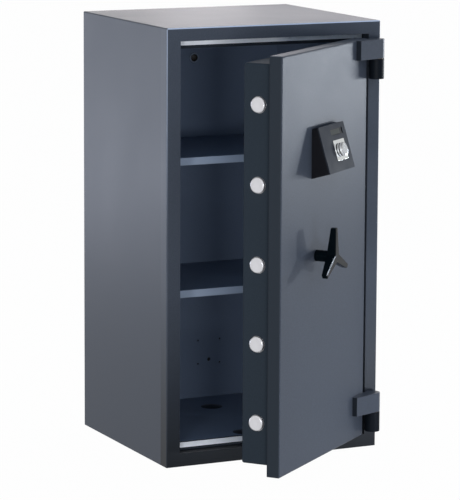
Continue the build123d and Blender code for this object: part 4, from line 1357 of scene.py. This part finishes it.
# %% [markdown]
# ## The studio
# The picture has a white ground and dark steel in front of it. White comes from what the camera
# and mirrors see, not from more light: the background and the floor turn white for camera, glossy
# and transmitted rays only. To all other rays the studio is a dim bluish room and a grey floor,
# so that the paint keeps its depth.

# %% Background and floor
ROOM_COLOUR = (0.40, 0.49, 0.62, 1)
FLOOR_GREY = 0.50
FLOOR_WHITE = 0.985


def seen_rays(tree):
    """1 for rays from the camera, from mirrors and through glass, and 0 for all others"""
    path = add(tree, "ShaderNodeLightPath").outputs
    seen = calculate(tree, "MAXIMUM", path["Is Camera Ray"], path["Is Glossy Ray"])
    return calculate(tree, "MAXIMUM", seen, path["Is Transmission Ray"])


world = bpy.data.worlds.new("studio")
world.use_nodes = True
bpy.context.scene.world = world
tree = world.node_tree
room = mixed(tree, seen_rays(tree), ROOM_COLOUR, (1, 1, 1, 1))
tree.links.new(room, tree.nodes["Background"].inputs["Color"])

clear_selection()
bpy.ops.mesh.primitive_plane_add(size=40)
floor = name_piece("studio_floor")
tree, shader = start_material("studio_floor", Roughness=0.9, Specular_IOR_Level=0.1)
shader.inputs["Base Color"].default_value = (FLOOR_GREY, FLOOR_GREY, FLOOR_GREY, 1)
white = add(tree, "ShaderNodeEmission", {"Color": (1, 1, 1, 1), "Strength": 1.0}).outputs[0]
share = calculate(tree, "MULTIPLY", seen_rays(tree), FLOOR_WHITE)
both = add(tree, "ShaderNodeMixShader", {0: share, 1: shader.outputs[0], 2: white}).outputs[0]
tree.links.new(both, tree.nodes["Material Output"].inputs["Surface"])
floor.data.materials.append(finishes["studio_floor"])
print("floor", floor.name, "room", ROOM_COLOUR[:3])

# %% [markdown]
# The lamps follow the shadows and highlights of the picture. A small low key lamp far to the right
# grazes the open door and throws the lock's sharp shadow to the left. The bright upper half of the
# door is a broad box lamp seen in its satin coat, and a strip just above the floor does the same
# for its foot. One small lamp high on the right stands where the handle's chamfer mirrors it to the
# camera. Of the four boxes behind the safe, two are seen in its left side and two in its top. Two
# lamps in front, set well to the left, light the edge of the door and reach into the inside.

# %% Lamps
LAMPS = {
    # name: (place, aimed at, width, height, watts, colour)
    "key": ((3.10, 0.10, 0.45), (0.10, -0.30, 0.50), 0.09, 0.09, 13.8, (0.84, 0.91, 1.0)),
    "door_box": ((2.90, 0.45, 0.70), (0.10, -0.35, 0.80), 0.60, 0.28, 17.5, (0.86, 0.92, 1.0)),
    "door_foot": ((0.55, -0.95, 0.02), (-0.05, -0.50, 0.08), 0.40, 0.02, 2.80, (0.84, 0.90, 1.0)),
    "edge_light": ((1.85, -1.70, 2.52), (0.01, -0.48, 0.48), 0.15, 0.15, 7.0, (0.78, 0.86, 1.0)),
    "side_box": ((-1.60, 2.70, 0.55), (-0.27, 0.0, 0.60), 1.20, 1.00, 14.0, (0.78, 0.84, 1.0)),
    "side_low": ((-1.60, 2.70, 0.15), (-0.27, 0.0, 0.30), 1.20, 0.25, 4.0, (0.80, 0.84, 1.0)),
    "top_box": ((0.65, 2.25, 1.40), (-0.10, 0.0, 1.0), 0.90, 0.40, 2.2, (1.0, 0.93, 0.93)),
    "top_wide": ((1.70, 2.30, 1.70), (0.10, 0.0, 1.0), 1.60, 0.80, 7.0, (1.0, 0.94, 1.0)),
    "front_fill": ((-1.00, -3.25, 0.58), (0.0, 0.0, 0.50), 0.95, 0.30, 25.0, (0.96, 0.97, 1.0)),
    "front_side": ((-2.07, -2.65, 0.55), (-0.10, -0.20, 0.60), 0.30, 0.40, 15.0, (0.96, 0.97, 1.0)),
}
for name, (place, target, width, height, watts, colour) in LAMPS.items():
    lamp_data = bpy.data.lights.new(name, "AREA")
    lamp_data.shape = "RECTANGLE"
    lamp_data.size = width
    lamp_data.size_y = height
    lamp_data.energy = watts
    lamp_data.color = colour
    lamp = bpy.data.objects.new(name, lamp_data)
    bpy.context.scene.collection.objects.link(lamp)
    lamp.location = place
    lamp.rotation_euler = (Vector(target) - Vector(place)).to_track_quat("-Z", "Y").to_euler()
    lamp.visible_camera = False
bpy.context.scene.view_settings.view_transform = "Standard"
print(len(LAMPS), "lamps")
